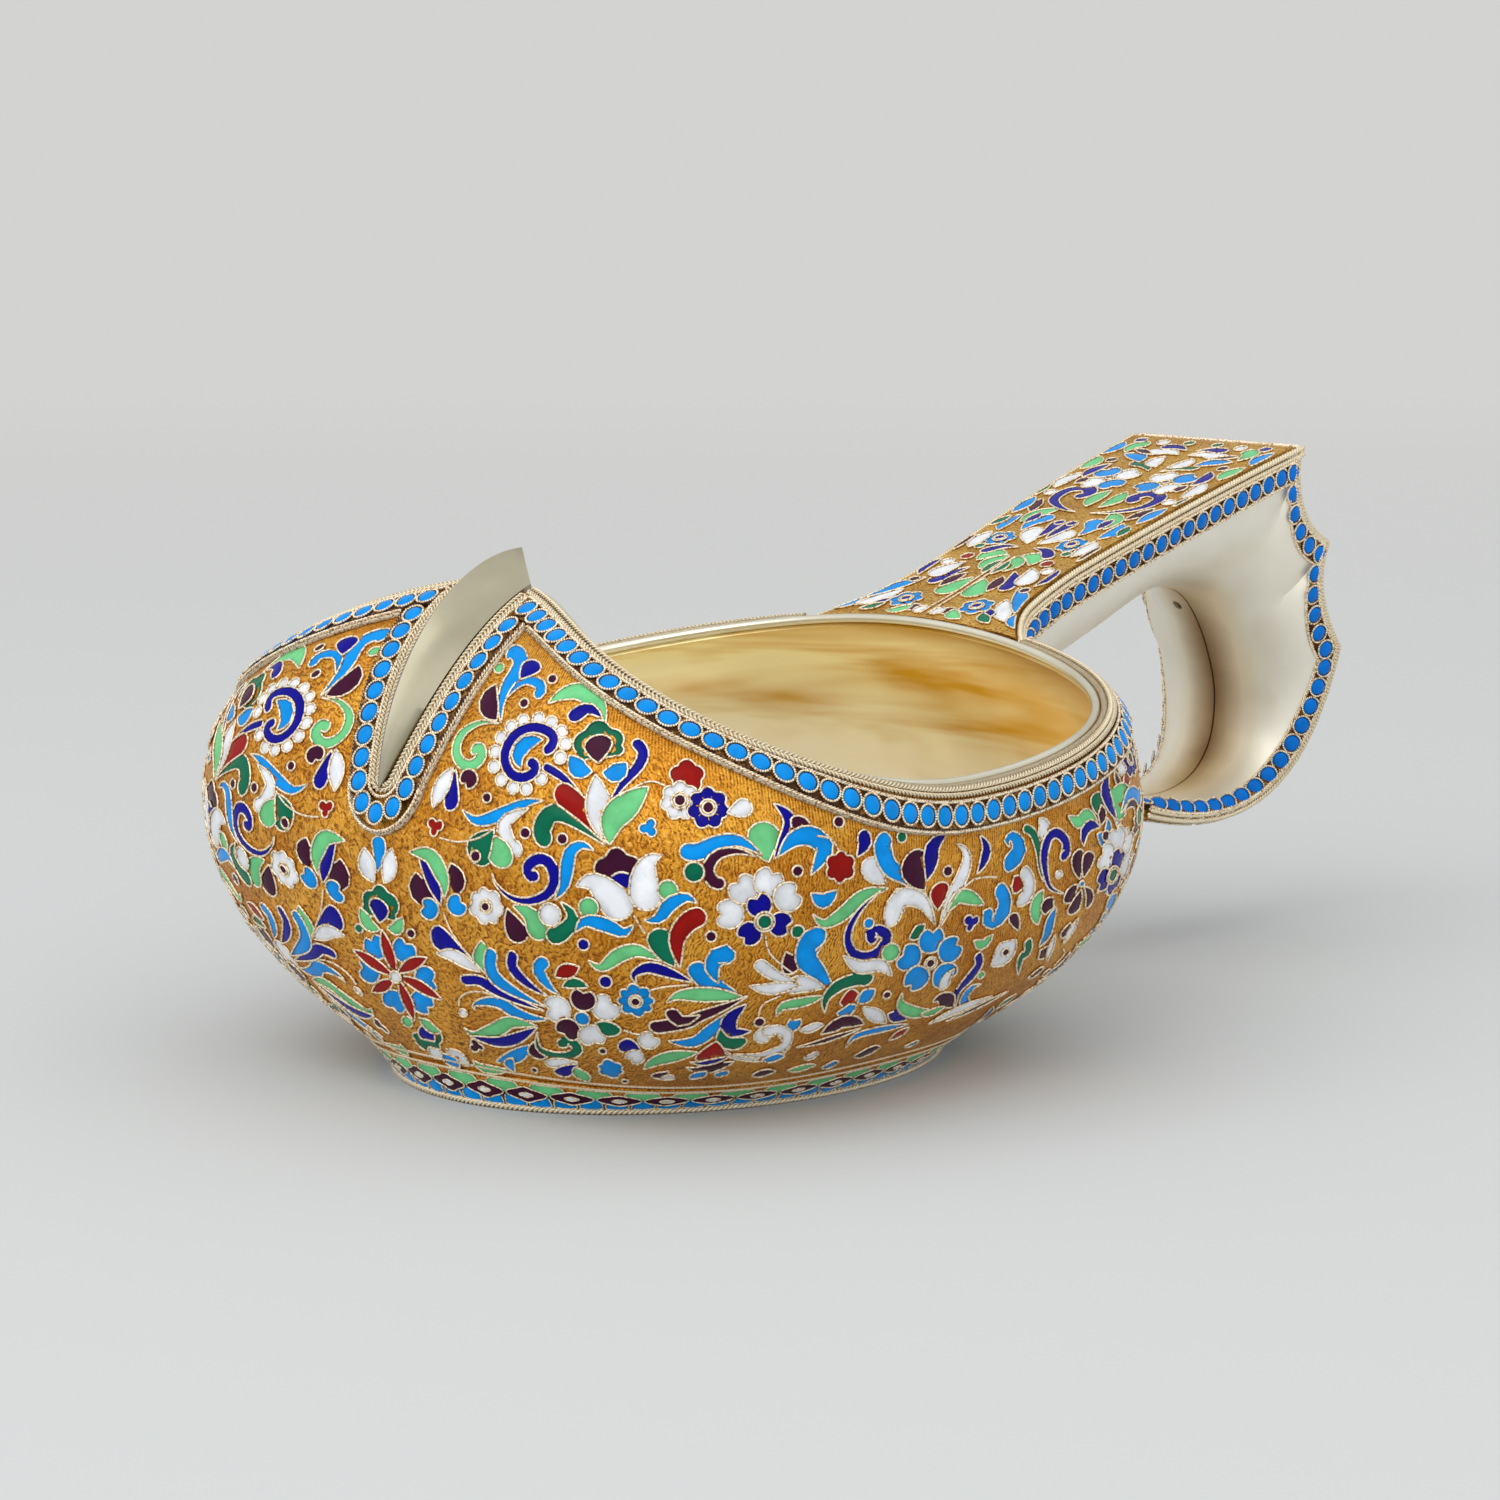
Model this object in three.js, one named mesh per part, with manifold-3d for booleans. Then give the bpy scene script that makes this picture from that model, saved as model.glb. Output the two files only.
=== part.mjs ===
// Small silver-gilt kovsh with enamelled filigree.
// Millimetres, +Z up, prow towards -X, handle towards +X, mirror plane y = 0.
import * as THREE from 'three';
import { mergeVertices } from 'three/addons/utils/BufferGeometryUtils.js';
import Module from 'manifold-3d';

const manifoldLibrary = await Module();
manifoldLibrary.setup();

// Fits
const gap = 0.3;

// Base, a flat oval
const baseFront = 43.7;
const baseBack = 29;
const baseHalf = 30.5;
const baseMid = -6.6;
const basePlateThickness = 1;

// Belly, the widest line of the bowl
const bellyFront = 57.9;
const bellyBack = 47.2;
const bellyHalf = 52.4;
const bowlMid = -10;
const bellyFrontHeight = 34.6;
const bellyBackHeight = 30.6;
const bellySquarenessShare = 3.25;

// Mouth, a saddle line with its peak at the prow
const mouthFront = 48.6;
const mouthBack = 40.6;
const mouthHalf = 51.4;
const mouthFrontSquarenessShare = 2.6;
const mouthBackSquarenessShare = 2.9;
const prowRecess = 13;
const prowRecessReach = 20.7;
const recessPowerShare = 1.15;
const prowHeight = 62.9;
const sideHeight = 40.9;
const sternHeight = 51.4;
const lowestDegreesShare = 91;
const footSlopeShare = 0.6;
const shoulderSlopeShare = 1.25;

// Walls and wires
const wall = 1.5;
const lipRadius = 0.8;
const ropeRadius = 0.75;
const borderWireRadius = 0.45;
const bandWidth = 3.2;
const bandThickness = 0.6;
const footBandWidth = 1.3;

// Keel plate at the prow
const keelPlateThickness = 0.8;
const keelFootStep = 0.3;
const keelFootRise = 5.4;
const keelTipLean = 2.3;
const keelTipRise = 4.5;
const keelHalf = 4.8;
const keelEndHalf = 0.5;
const beadRadius = 1.4;
const veeDropShare = 0.42;

// Handle
const handleReach = 118.4;
const handleHeight = 71.5;
const handleRootHalf = 18.8;
const handleRootFlare = 3.8;
const flareShare = 0.11;
const handleWaistHalf = 12.6;
const handleEndHalf = 15.6;
const handleTipHalf = 9.5;
const panelThickness = 1.2;
const cheekThickness = 0.7;
const handleWireRadius = 0.5;
const ventRadius = 0.8;

// Facets
const roundSteps = 48;
const lowerSteps = 6;
const upperSteps = 7;
const wireSides = 5;
const sideSteps = 28;
const veeSteps = 14;
const keelSteps = 14;
const beadSteps = 20;

const gilt = material(0xc08a2c, 0.45, 0.9);
const silver = material(0xd8d4c0, 0.3, 1);
const creamWire = material(0xe8d8b0, 0.4, 1);
const turquoise = material(0x1a9de0, 0.25, 0);
const greenEnamel = material(0x3f9f6a, 0.25, 0);
const enamelPanel = material(0x9c8a58, 0.35, 0.5);

const kovsh = new THREE.Group();

function material(color, roughness, metalness) {
  return new THREE.MeshStandardMaterial({ color, roughness, metalness });
}

function add(name, geometry, look) {
  const mesh = new THREE.Mesh(geometry, look.clone());
  mesh.name = name;
  kovsh.add(mesh);
}

// An egg-shaped plan line: angle 0 looks at the prow, pi / 2 at the near side.
function egg(angle, front, back, half, mid, frontPower, backPower) {
  const c = Math.cos(angle);
  const s = Math.sin(angle);
  const reach = c > 0 ? front + mid : back - mid;
  const power = c > 0 ? frontPower : backPower;
  const along = Math.pow(Math.abs(c) / reach, power);
  const across = Math.pow(Math.abs(s) / half, power);
  const radius = Math.pow(along + across, -1 / power);
  return new THREE.Vector2(mid - radius * c, -radius * s);
}

function baseLine(angle) {
  return egg(angle, baseFront, baseBack, baseHalf, baseMid, 2, 2);
}

function bellyLine(angle) {
  const power = bellySquarenessShare;
  return egg(angle, bellyFront, bellyBack, bellyHalf, bowlMid, power, power);
}

function mouthLine(angle) {
  const frontPower = mouthFrontSquarenessShare;
  const backPower = mouthBackSquarenessShare;
  return egg(angle, mouthFront, mouthBack, mouthHalf, bowlMid, frontPower, backPower);
}

function bellyHeight(angle) {
  return THREE.MathUtils.lerp(bellyFrontHeight, bellyBackHeight, (1 - Math.cos(angle)) / 2);
}

function mouthHeight(angle) {
  const turn = Math.atan2(Math.abs(Math.sin(angle)), Math.cos(angle));
  const lowest = THREE.MathUtils.degToRad(lowestDegreesShare);
  if (turn < lowest) {
    const share = Math.cos((turn / lowest) * Math.PI / 2) ** 2;
    return THREE.MathUtils.lerp(sideHeight, prowHeight, share);
  }
  const share = Math.sin(((turn - lowest) / (Math.PI - lowest)) * Math.PI / 2) ** 2;
  return THREE.MathUtils.lerp(sideHeight, sternHeight, share);
}

const bowlBottom = basePlateThickness + gap;

// The bowl's outer surface: t runs 0 at the base, 1/2 at the belly, 1 at the mouth.
function outer(angle, t) {
  const belly = bellyLine(angle);
  const bellyZ = bellyHeight(angle);
  if (t < 0.5) {
    const start = footSlopeShare;
    const turn = THREE.MathUtils.lerp(start, Math.PI / 2, t * 2);
    const share = (Math.sin(turn) - Math.sin(start)) / (1 - Math.sin(start));
    const rise = (Math.cos(start) - Math.cos(turn)) / Math.cos(start);
    const p = baseLine(angle).lerp(belly, share);
    return new THREE.Vector3(p.x, p.y, THREE.MathUtils.lerp(bowlBottom, bellyZ, rise));
  }
  const turn = shoulderSlopeShare * (t * 2 - 1);
  const share = (1 - Math.cos(turn)) / (1 - Math.cos(shoulderSlopeShare));
  const rise = Math.sin(turn) / Math.sin(shoulderSlopeShare);
  const p = belly.lerp(mouthLine(angle), share);
  if (Math.cos(angle) > 0) {
    const leanShare = Math.pow(t * 2 - 1, recessPowerShare);
    p.x += prowRecess * leanShare * Math.exp(-((p.y / prowRecessReach) ** 2));
  }
  return new THREE.Vector3(p.x, p.y, THREE.MathUtils.lerp(bellyZ, mouthHeight(angle), rise));
}

function outwardNormal(angle, t) {
  const small = 1e-3;
  const low = Math.max(t - small, 0);
  const high = Math.min(t + small, 1);
  const up = outer(angle, high).sub(outer(angle, low));
  const round = outer(angle + small, t).sub(outer(angle - small, t));
  return up.cross(round).normalize().negate();
}

function offset(angle, t, out) {
  return outer(angle, t).addScaledVector(outwardNormal(angle, t), out);
}

// The value of t that lies a given length down from the mouth, or up from the base.
function shareFromMouth(angle, length) {
  return walk(angle, length, 1, -1);
}

function shareFromBase(angle, length) {
  return walk(angle, length, 0, 1);
}

function walk(angle, length, start, direction) {
  const step = 0.004;
  let t = start;
  let walked = 0;
  let last = outer(angle, t);
  while (walked < length && t >= 0 && t <= 1) {
    t += direction * step;
    const next = outer(angle, t);
    walked += next.distanceTo(last);
    last = next;
  }
  return t;
}

// A closed body from rings of equal length. Loose ends are capped with a fan.
function loft(rings, closed) {
  const count = rings[0].length;
  const positions = [];
  for (const ring of rings) for (const p of ring) positions.push(p.x, p.y, p.z);
  const index = [];
  const last = closed ? rings.length : rings.length - 1;
  for (let i = 0; i < last; i += 1) {
    const next = (i + 1) % rings.length;
    for (let j = 0; j < count; j += 1) {
      const k = (j + 1) % count;
      index.push(i * count + j, next * count + j, next * count + k);
      index.push(i * count + j, next * count + k, i * count + k);
    }
  }
  if (!closed) {
    addCap(rings[0], 0, positions, index, true);
    addCap(rings[rings.length - 1], (rings.length - 1) * count, positions, index, false);
  }
  const geometry = new THREE.BufferGeometry();
  geometry.setAttribute('position', new THREE.Float32BufferAttribute(positions, 3));
  geometry.setIndex(index);
  return outside(geometry);
}

function addCap(ring, first, positions, index, reversed) {
  const centre = new THREE.Vector3();
  for (const p of ring) centre.addScaledVector(p, 1 / ring.length);
  const hub = positions.length / 3;
  positions.push(centre.x, centre.y, centre.z);
  for (let j = 0; j < ring.length; j += 1) {
    const k = (j + 1) % ring.length;
    if (reversed) index.push(first + j, first + k, hub);
    else index.push(first + k, first + j, hub);
  }
}

// Turns the faces so that the enclosed volume is positive.
function outside(geometry) {
  const p = geometry.attributes.position;
  const index = geometry.index.array;
  const corner = [new THREE.Vector3(), new THREE.Vector3(), new THREE.Vector3()];
  let volume = 0;
  for (let i = 0; i < index.length; i += 3) {
    for (let j = 0; j < 3; j += 1) corner[j].fromBufferAttribute(p, index[i + j]);
    volume += corner[0].dot(corner[1].clone().cross(corner[2]));
  }
  if (volume < 0) {
    for (let i = 0; i < index.length; i += 3) {
      const held = index[i + 1];
      index[i + 1] = index[i + 2];
      index[i + 2] = held;
    }
  }
  geometry.computeVertexNormals();
  return geometry;
}

// Rings round a path, with the frame turned as little as possible.
function wireGeometry(points, radius, closed) {
  const rings = [];
  const side = new THREE.Vector3();
  let up = new THREE.Vector3(0, 0, 1);
  const tangents = points.map((p, i) => {
    const before = closed ? points.at(i - 1) : points[Math.max(i - 1, 0)];
    const after = closed ? points[(i + 1) % points.length] : points[Math.min(i + 1, points.length - 1)];
    return after.clone().sub(before).normalize();
  });
  if (Math.abs(tangents[0].z) > 0.9) up = new THREE.Vector3(1, 0, 0);
  points.forEach((p, i) => {
    side.crossVectors(tangents[i], up).normalize();
    up = new THREE.Vector3().crossVectors(side, tangents[i]).normalize();
    const ring = [];
    for (let j = 0; j < wireSides; j += 1) {
      const turn = (j / wireSides) * Math.PI * 2;
      const q = p.clone().addScaledVector(side, radius * Math.cos(turn));
      ring.push(q.addScaledVector(up, radius * Math.sin(turn)));
    }
    rings.push(ring);
  });
  return loft(rings, closed);
}

function angles(from, to, steps) {
  return Array.from({ length: steps + 1 }, (_, i) => THREE.MathUtils.lerp(from, to, i / steps));
}

function fullTurn() {
  return angles(0, Math.PI * 2, roundSteps).slice(0, roundSteps);
}

// Bowl and base
function bowlShell() {
  const outerShares = [
    ...angles(0, 0.5, lowerSteps),
    ...angles(0.5, 1, upperSteps).slice(1),
  ];
  const floor = bowlBottom + wall;
  const rings = outerShares.map((t) => fullTurn().map((a) => outer(a, t)));
  const innerShares = outerShares.slice(1).reverse();
  for (const t of innerShares) {
    rings.push(fullTurn().map((a) => {
      const p = offset(a, t, -wall);
      p.z = Math.max(p.z, floor + gap * t);
      return p;
    }));
  }
  const floorRing = fullTurn().map((a) => {
    const p = baseLine(a);
    return new THREE.Vector3(p.x, p.y, floor);
  });
  rings.push(floorRing);
  return loft(rings, false);
}

function basePlate() {
  const rim = fullTurn().map((a) => baseLine(a));
  const inset = ropeRadius;
  const shape = new THREE.Shape(rim.map((p) => {
    const out = p.clone().sub(new THREE.Vector2(baseMid, 0));
    return out.setLength(out.length() - inset).add(new THREE.Vector2(baseMid, 0));
  }));
  return new THREE.ExtrudeGeometry(shape, { depth: basePlateThickness, bevelEnabled: false });
}

function footRope() {
  const points = fullTurn().map((a) => {
    const p = baseLine(a);
    const out = p.clone().sub(new THREE.Vector2(baseMid, 0));
    out.setLength(out.length() + ropeRadius + gap).add(new THREE.Vector2(baseMid, 0));
    return new THREE.Vector3(out.x, out.y, ropeRadius + gap / 2);
  });
  return wireGeometry(points, ropeRadius, true);
}

// A thin band that follows the bowl between two lengths from the base or the mouth.
function bandRings(list, share, from, to) {
  return list.map((a) => {
    const t0 = share(a, from);
    const t1 = share(a, to);
    return [
      offset(a, t0, gap),
      offset(a, t1, gap),
      offset(a, t1, gap + bandThickness),
      offset(a, t0, gap + bandThickness),
    ];
  });
}

const footBandStart = ropeRadius * 2 + gap;
const eyeBandStart = footBandStart + footBandWidth + gap;
const footWireStart = eyeBandStart + footBandWidth + gap + borderWireRadius;

add('bowl_shell', bowlShell(), gilt);
add('base_plate', basePlate(), silver);
add('foot_rope_wire', footRope(), creamWire);
add(
  'foot_disc_band',
  loft(bandRings(fullTurn(), shareFromBase, footBandStart, footBandStart + footBandWidth), true),
  turquoise,
);
add(
  'foot_eye_band',
  loft(bandRings(fullTurn(), shareFromBase, eyeBandStart, eyeBandStart + footBandWidth), true),
  greenEnamel,
);
add('foot_upper_wire', surfaceRing(shareFromBase, footWireStart, borderWireRadius), creamWire);

function surfaceRing(share, length, radius) {
  const points = fullTurn().map((a) => offset(a, share(a, length), gap + radius));
  return wireGeometry(points, radius, true);
}

// Keel plate: a folded crescent on the prow, its ridge drawn from foot to tip.
const keelFoot = bellyFront - keelFootStep;
const keelFootHeight = bellyFrontHeight + keelFootRise;
const keelTip = mouthFront - prowRecess - keelTipLean;
const keelTipHeight = prowHeight + keelTipRise;
const ridgeLowShare = 0.42;
const ridgeHighShare = 0.58;
const ridge = new THREE.CubicBezierCurve3(
  new THREE.Vector3(-keelFoot, 0, keelFootHeight),
  new THREE.Vector3(-keelFoot, 0, THREE.MathUtils.lerp(keelFootHeight, keelTipHeight, ridgeLowShare)),
  new THREE.Vector3(-THREE.MathUtils.lerp(keelTip, keelFoot, ridgeHighShare), 0, keelTipHeight),
  new THREE.Vector3(-keelTip, 0, keelTipHeight),
);
const keelFootShare = 0.59;
const keelTaperShare = 2.2;

// Half width of the keel plate where the bowl's surface has the share t.
function keelHalfAt(t) {
  const rest = 1 - THREE.MathUtils.clamp((t - keelFootShare) / (1 - keelFootShare), 0, 1);
  return keelEndHalf + (keelHalf - keelEndHalf) * (1 - Math.pow(rest, keelTaperShare));
}

// The angle at which the surface has a given y beside the prow.
function angleBesideKeel(t, y) {
  let angle = 0;
  for (let i = 0; i < 16; i += 1) angle += (outer(angle, t).y - y) / bellyFront;
  return angle;
}

// The angle at which the surface has a given y beside the stern.
function angleBesideStern(t, y) {
  let angle = Math.PI * Math.sign(-y);
  for (let i = 0; i < 24; i += 1) angle -= (outer(angle, t).y - y) / bellyBack;
  return angle;
}

function keelPlate() {
  const rings = angles(0, 1, keelSteps).map((u) => {
    const t = THREE.MathUtils.lerp(keelFootShare, 1, u);
    const top = ridge.getPoint(u);
    const near = angleBesideKeel(t, -keelHalfAt(t));
    const under = top.clone();
    under.z -= keelPlateThickness * 2;
    const free = THREE.MathUtils.smoothstep(u, 0.8, 1);
    const seat = offset(0, t, gap).lerp(under, free);
    return [
      offset(near, t, gap + keelPlateThickness),
      top,
      offset(-near, t, gap + keelPlateThickness),
      offset(-near, t, gap),
      seat,
      offset(near, t, gap),
    ];
  });
  return loft(rings, false);
}

// Lines round the mouth and down both sides of the keel plate.
const ropeLine = ropeRadius + gap / 2;
const bandLine = ropeLine + ropeRadius + gap;
const borderLine = bandLine + bandWidth + gap + borderWireRadius;
const veeRope = ropeRadius + gap;
const veeBand = veeRope + ropeRadius + gap;
const veeBorder = veeBand + bandWidth + gap + borderWireRadius;

function mouthWire(side, line, radius, startY, endY) {
  const from = angleBesideKeel(1, side * startY);
  const to = angleBesideStern(1, side * endY);
  const points = angles(from, to, sideSteps).map((a) => {
    return offset(a, shareFromMouth(a, line), gap + radius);
  });
  return wireGeometry(points, radius, false);
}

function mouthBand(side, startY, endY) {
  const from = angleBesideKeel(1, side * startY);
  const to = angleBesideStern(1, side * endY);
  const list = angles(from, to, sideSteps);
  return loft(bandRings(list, shareFromMouth, bandLine, bandLine + bandWidth), false);
}

function veeShares(line, endLine) {
  const top = shareFromMouth(angleBesideKeel(1, keelHalf + line), endLine);
  return angles(veeFootShare(line), top, veeSteps);
}

// Where a line beside the keel plate starts, so that near and far stay a gap apart.
function veeFootShare(line) {
  return keelFootShare - line * veeDropShare / (prowHeight - bellyFrontHeight);
}

function veeSide(t, line) {
  const rest = THREE.MathUtils.clamp((keelFootShare - t) / (keelFootShare - veeFootShare(line)), 0, 1);
  return (keelHalfAt(t) + line) * Math.sqrt(Math.max(1 - rest * rest, 0)) + gap;
}

function veeWire(side, line, radius, endLine) {
  const points = veeShares(line, endLine).map((t) => {
    const y = Math.max(veeSide(t, line), radius + gap / 2);
    return offset(angleBesideKeel(t, side * y), t, gap + radius);
  });
  return wireGeometry(points, radius, false);
}

function veeBandGeometry(side, endLine) {
  const rings = veeShares(veeBand, endLine).map((t) => {
    const inner = angleBesideKeel(t, side * Math.max(veeSide(t, veeBand), beadRadius + gap));
    const wide = Math.max(veeSide(t, veeBand) + bandWidth, beadRadius + gap + bandWidth / 2);
    const outside = angleBesideKeel(t, side * wide);
    return [
      offset(inner, t, gap),
      offset(outside, t, gap),
      offset(outside, t, gap + bandThickness),
      offset(inner, t, gap + bandThickness),
    ];
  });
  return loft(rings, false);
}

// One loose disc closes the band below the keel plate.
function bottomBead() {
  const line = veeBand + bandWidth / 2;
  const t = veeFootShare(line);
  const out = outwardNormal(0, t);
  const bead = new THREE.CylinderGeometry(beadRadius, beadRadius, bandThickness, beadSteps);
  bead.applyQuaternion(new THREE.Quaternion().setFromUnitVectors(new THREE.Vector3(0, 1, 0), out));
  const at = offset(0, t, gap * 2 + bandThickness / 2);
  return bead.translate(at.x, at.y, at.z);
}

add('prow_keel_plate', keelPlate(), silver);
add('prow_bottom_bead', bottomBead(), turquoise);

// Mouth lip, open at the keel plate
function mouthLip() {
  const from = angleBesideKeel(1, -(keelHalf + lipRadius + gap));
  const points = angles(from, Math.PI * 2 - from, roundSteps).map((a) => {
    const upward = outer(a, 1).sub(outer(a, 0.99)).normalize();
    return offset(a, 1, -wall / 2).addScaledVector(upward, gap + lipRadius);
  });
  return wireGeometry(points, lipRadius, false);
}

add('mouth_lip_wire', mouthLip(), silver);
const sternClear = handleRootHalf + ropeRadius + gap;
for (const [word, side] of [['near', -1], ['far', 1]]) {
  add(
    `mouth_rope_wire_${word}`,
    mouthWire(side, ropeLine, ropeRadius, keelHalf + veeRope, sternClear),
    creamWire,
  );
  add(`mouth_disc_band_${word}`, mouthBand(side, keelHalf + veeBand, sternClear), turquoise);
  add(
    `mouth_border_wire_${word}`,
    mouthWire(side, borderLine, borderWireRadius, keelHalf + veeBorder, sternClear),
    creamWire,
  );
  add(`prow_rope_wire_${word}`, veeWire(side, veeRope, ropeRadius, bandLine), creamWire);
  add(`prow_disc_band_${word}`, veeBandGeometry(side, borderLine), turquoise);
  add(
    `prow_border_wire_${word}`,
    veeWire(side, veeBorder, borderWireRadius, borderLine + borderWireRadius * 2 + gap),
    creamWire,
  );
}

// Handle outline in the mirror plane: x and z as shares of the reach and the height.
function handlePoint([xShare, zShare]) {
  return new THREE.Vector2(handleReach * xShare, handleHeight * zShare);
}

const rootPoint = new THREE.Vector2(mouthBack + lipRadius * 2 + gap * 2, sternHeight + gap);
const cornerPoint = handlePoint([0.912, 1]);
const upperCusp = handlePoint([0.972, 0.797]);
const lowerCusp = handlePoint([1, 0.58]);
const tipPoint = handlePoint([0.685, 0.28]);
const topLine = new THREE.QuadraticBezierCurve(rootPoint, handlePoint([0.634, 0.884]), cornerPoint);
const upperScoop = new THREE.QuadraticBezierCurve(cornerPoint, handlePoint([0.892, 0.853]), upperCusp);
const lowerScoop = new THREE.QuadraticBezierCurve(upperCusp, handlePoint([0.937, 0.706]), lowerCusp);
const hook = new THREE.CubicBezierCurve(
  lowerCusp,
  handlePoint([0.992, 0.31]),
  handlePoint([0.895, 0.182]),
  tipPoint,
);

// The inner ridge that the cheeks meet on, from the bowl's wall to the tip.
const innerShares = [
  [0.403, 0.528], [0.484, 0.57], [0.598, 0.638], [0.7, 0.704], [0.778, 0.717],
  [0.84, 0.694], [0.882, 0.62], [0.91, 0.517], [0.914, 0.441], [0.902, 0.371],
  [0.868, 0.318], [0.812, 0.294], [0.746, 0.3], [0.69, 0.324],
];
const innerRidge = new THREE.SplineCurve(innerShares.map(handlePoint));

const waistShare = 0.27;
const topRidgeShare = 0.4;
const upperRidgeShare = 0.46;
const lowerRidgeShare = 0.54;

// Half width of the handle along the top line, the scoops and the hook.
function topHalf(u) {
  if (u < waistShare) {
    const flare = handleRootFlare * Math.max(1 - u / flareShare, 0) ** 2;
    return flare + THREE.MathUtils.lerp(handleWaistHalf, handleRootHalf - handleRootFlare, (1 - u / waistShare) ** 2);
  }
  return THREE.MathUtils.lerp(handleWaistHalf, handleEndHalf, (u - waistShare) / (1 - waistShare));
}

function hookHalf(u) {
  return THREE.MathUtils.lerp(handleTipHalf, handleEndHalf, (1 - u) ** 2);
}

// One station of the handle: the outer point, its inward direction, the ridge point
// and the half width.
function station(curve, u, half, ridgeStart, ridgeEnd, inward) {
  const tangent = curve.getTangent(u);
  const normal = inward ? inward.clone() : new THREE.Vector2(tangent.y, -tangent.x);
  return {
    at: curve.getPoint(u),
    inward: normal,
    ridge: innerRidge.getPoint(THREE.MathUtils.lerp(ridgeStart, ridgeEnd, u)),
    half,
  };
}

const forward = new THREE.Vector2(-1, 0);

function topStations(from, to, steps) {
  return angles(from, to, steps).map((u) => station(topLine, u, topHalf(u), 0, topRidgeShare));
}

function scoopStations(curve, from, to, steps, start, end) {
  return angles(from, to, steps).map((u) => station(curve, u, handleEndHalf, start, end, forward));
}

function hookStations(from, to, steps) {
  return angles(from, to, steps).map((u) => {
    return station(hook, u, hookHalf(u), lowerRidgeShare, 1);
  });
}

function backStations(firstShare) {
  return [
    ...scoopStations(upperScoop, firstShare, 1, 5, topRidgeShare, upperRidgeShare),
    ...scoopStations(lowerScoop, 0.2, 1, 5, upperRidgeShare, lowerRidgeShare),
    ...hookStations(0.08, 1, 14),
  ];
}

function place(s, depth, y) {
  const p = s.at.clone().addScaledVector(s.inward, depth);
  return new THREE.Vector3(p.x, y, p.y);
}

// The share of a line at which it has come a given length from one of its ends.
function shareAt(curve, length) {
  return length / curve.getLength();
}

const edgeClear = handleWireRadius * 2 + gap;
const backStart = shareAt(upperScoop, panelThickness + gap * 2);
const topEnd = 1 - shareAt(topLine, edgeClear);

function panel(list) {
  const rings = list.map((s) => {
    const y = s.half - edgeClear;
    return [
      place(s, 0, -y), place(s, 0, y), place(s, panelThickness, y), place(s, panelThickness, -y),
    ];
  });
  return loft(rings, false);
}

// Cheeks: half an ellipse from the panel's edge to the inner ridge.
const seatDepth = panelThickness + gap;
const arcSteps = 24;

function cheekStations() {
  const topInset = 1 - shareAt(topLine, seatDepth + gap);
  const backInset = shareAt(upperScoop, seatDepth + gap);
  return [...topStations(0, topInset, 12), ...backStations(backInset)];
}

// Points of the half section from the edge, y outermost, to the ridge at y = 0.
function sectionArc(s) {
  const start = place(s, seatDepth, 0);
  const end = new THREE.Vector3(s.ridge.x, 0, s.ridge.y);
  const reach = end.clone().sub(start);
  const wide = s.half - gap;
  return angles(0, Math.PI / 2, arcSteps).map((turn) => {
    const p = start.clone().addScaledVector(reach, Math.sin(turn));
    p.y = -wide * Math.cos(turn);
    return p;
  });
}

function sectionPoint(arc, length) {
  let walked = 0;
  for (let i = 1; i < arc.length; i += 1) {
    const step = arc[i].distanceTo(arc[i - 1]);
    if (walked + step >= length) {
      const point = arc[i - 1].clone().lerp(arc[i], (length - walked) / step);
      return { point, along: arc[i].clone().sub(arc[i - 1]).normalize() };
    }
    walked += step;
  }
  const along = arc[arc.length - 1].clone().sub(arc[arc.length - 2]).normalize();
  return { point: arc[arc.length - 1].clone(), along };
}

function arcLength(arc) {
  return arc.slice(1).reduce((sum, p, i) => sum + p.distanceTo(arc[i]), 0);
}

// A sheet on the near cheek between two lengths from the edge, mirrored for the far one.
function cheekSheet(list, from, to, steps, side) {
  const rings = list.map((s) => {
    const arc = sectionArc(s);
    const total = arcLength(arc);
    const end = Math.min(to, total - gap / 2);
    const reach = new THREE.Vector3(s.ridge.x, 0, s.ridge.y).sub(place(s, seatDepth, 0)).normalize();
    const lengths = angles(Math.min(from, end - cheekThickness), end, steps);
    const outerRow = [];
    const innerRow = [];
    for (const length of lengths) {
      const { point, along } = sectionPoint(arc, length);
      const inwardY = along.dot(reach);
      const inwardDepth = -along.y;
      const back = point.clone().addScaledVector(reach, cheekThickness * inwardDepth);
      back.y += cheekThickness * inwardY;
      back.y = Math.min(back.y, -gap / 2);
      point.y = Math.min(point.y, -gap / 2);
      outerRow.push(point);
      innerRow.push(back);
    }
    const ring = [...outerRow, ...innerRow.reverse()];
    for (const p of ring) p.y *= -side;
    return ring;
  });
  return loft(rings, false);
}

function edgeWire(side) {
  const list = [...topStations(0, 1, 12), ...backStations(backStart)];
  const points = list.map((s) => place(s, handleWireRadius, side * (s.half - handleWireRadius)));
  return wireGeometry(points, handleWireRadius, false);
}

function crossWire(s, depth) {
  const y = s.half - edgeClear;
  const points = [place(s, depth, -y), place(s, depth, y)];
  return wireGeometry(points, handleWireRadius, false);
}

const discBandEnd = bandWidth + gap;
const cheekStart = discBandEnd + gap;

// A small vent through the far cheek, high inside the hook.
const ventPoint = new THREE.Vector3(handleReach * 0.866, handleWaistHalf * 0.2, handleHeight * 0.665);
const ventDirection = new THREE.Vector3(-1, 0.35, -0.75).normalize();
const ventLength = cheekThickness * 8;

function solid(geometry) {
  const bare = new THREE.BufferGeometry();
  bare.setAttribute('position', geometry.attributes.position);
  bare.setIndex(geometry.index);
  const merged = mergeVertices(bare);
  return new manifoldLibrary.Manifold(new manifoldLibrary.Mesh({
    numProp: 3,
    vertProperties: new Float32Array(merged.attributes.position.array),
    triVerts: new Uint32Array(merged.index.array),
  }));
}

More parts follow.
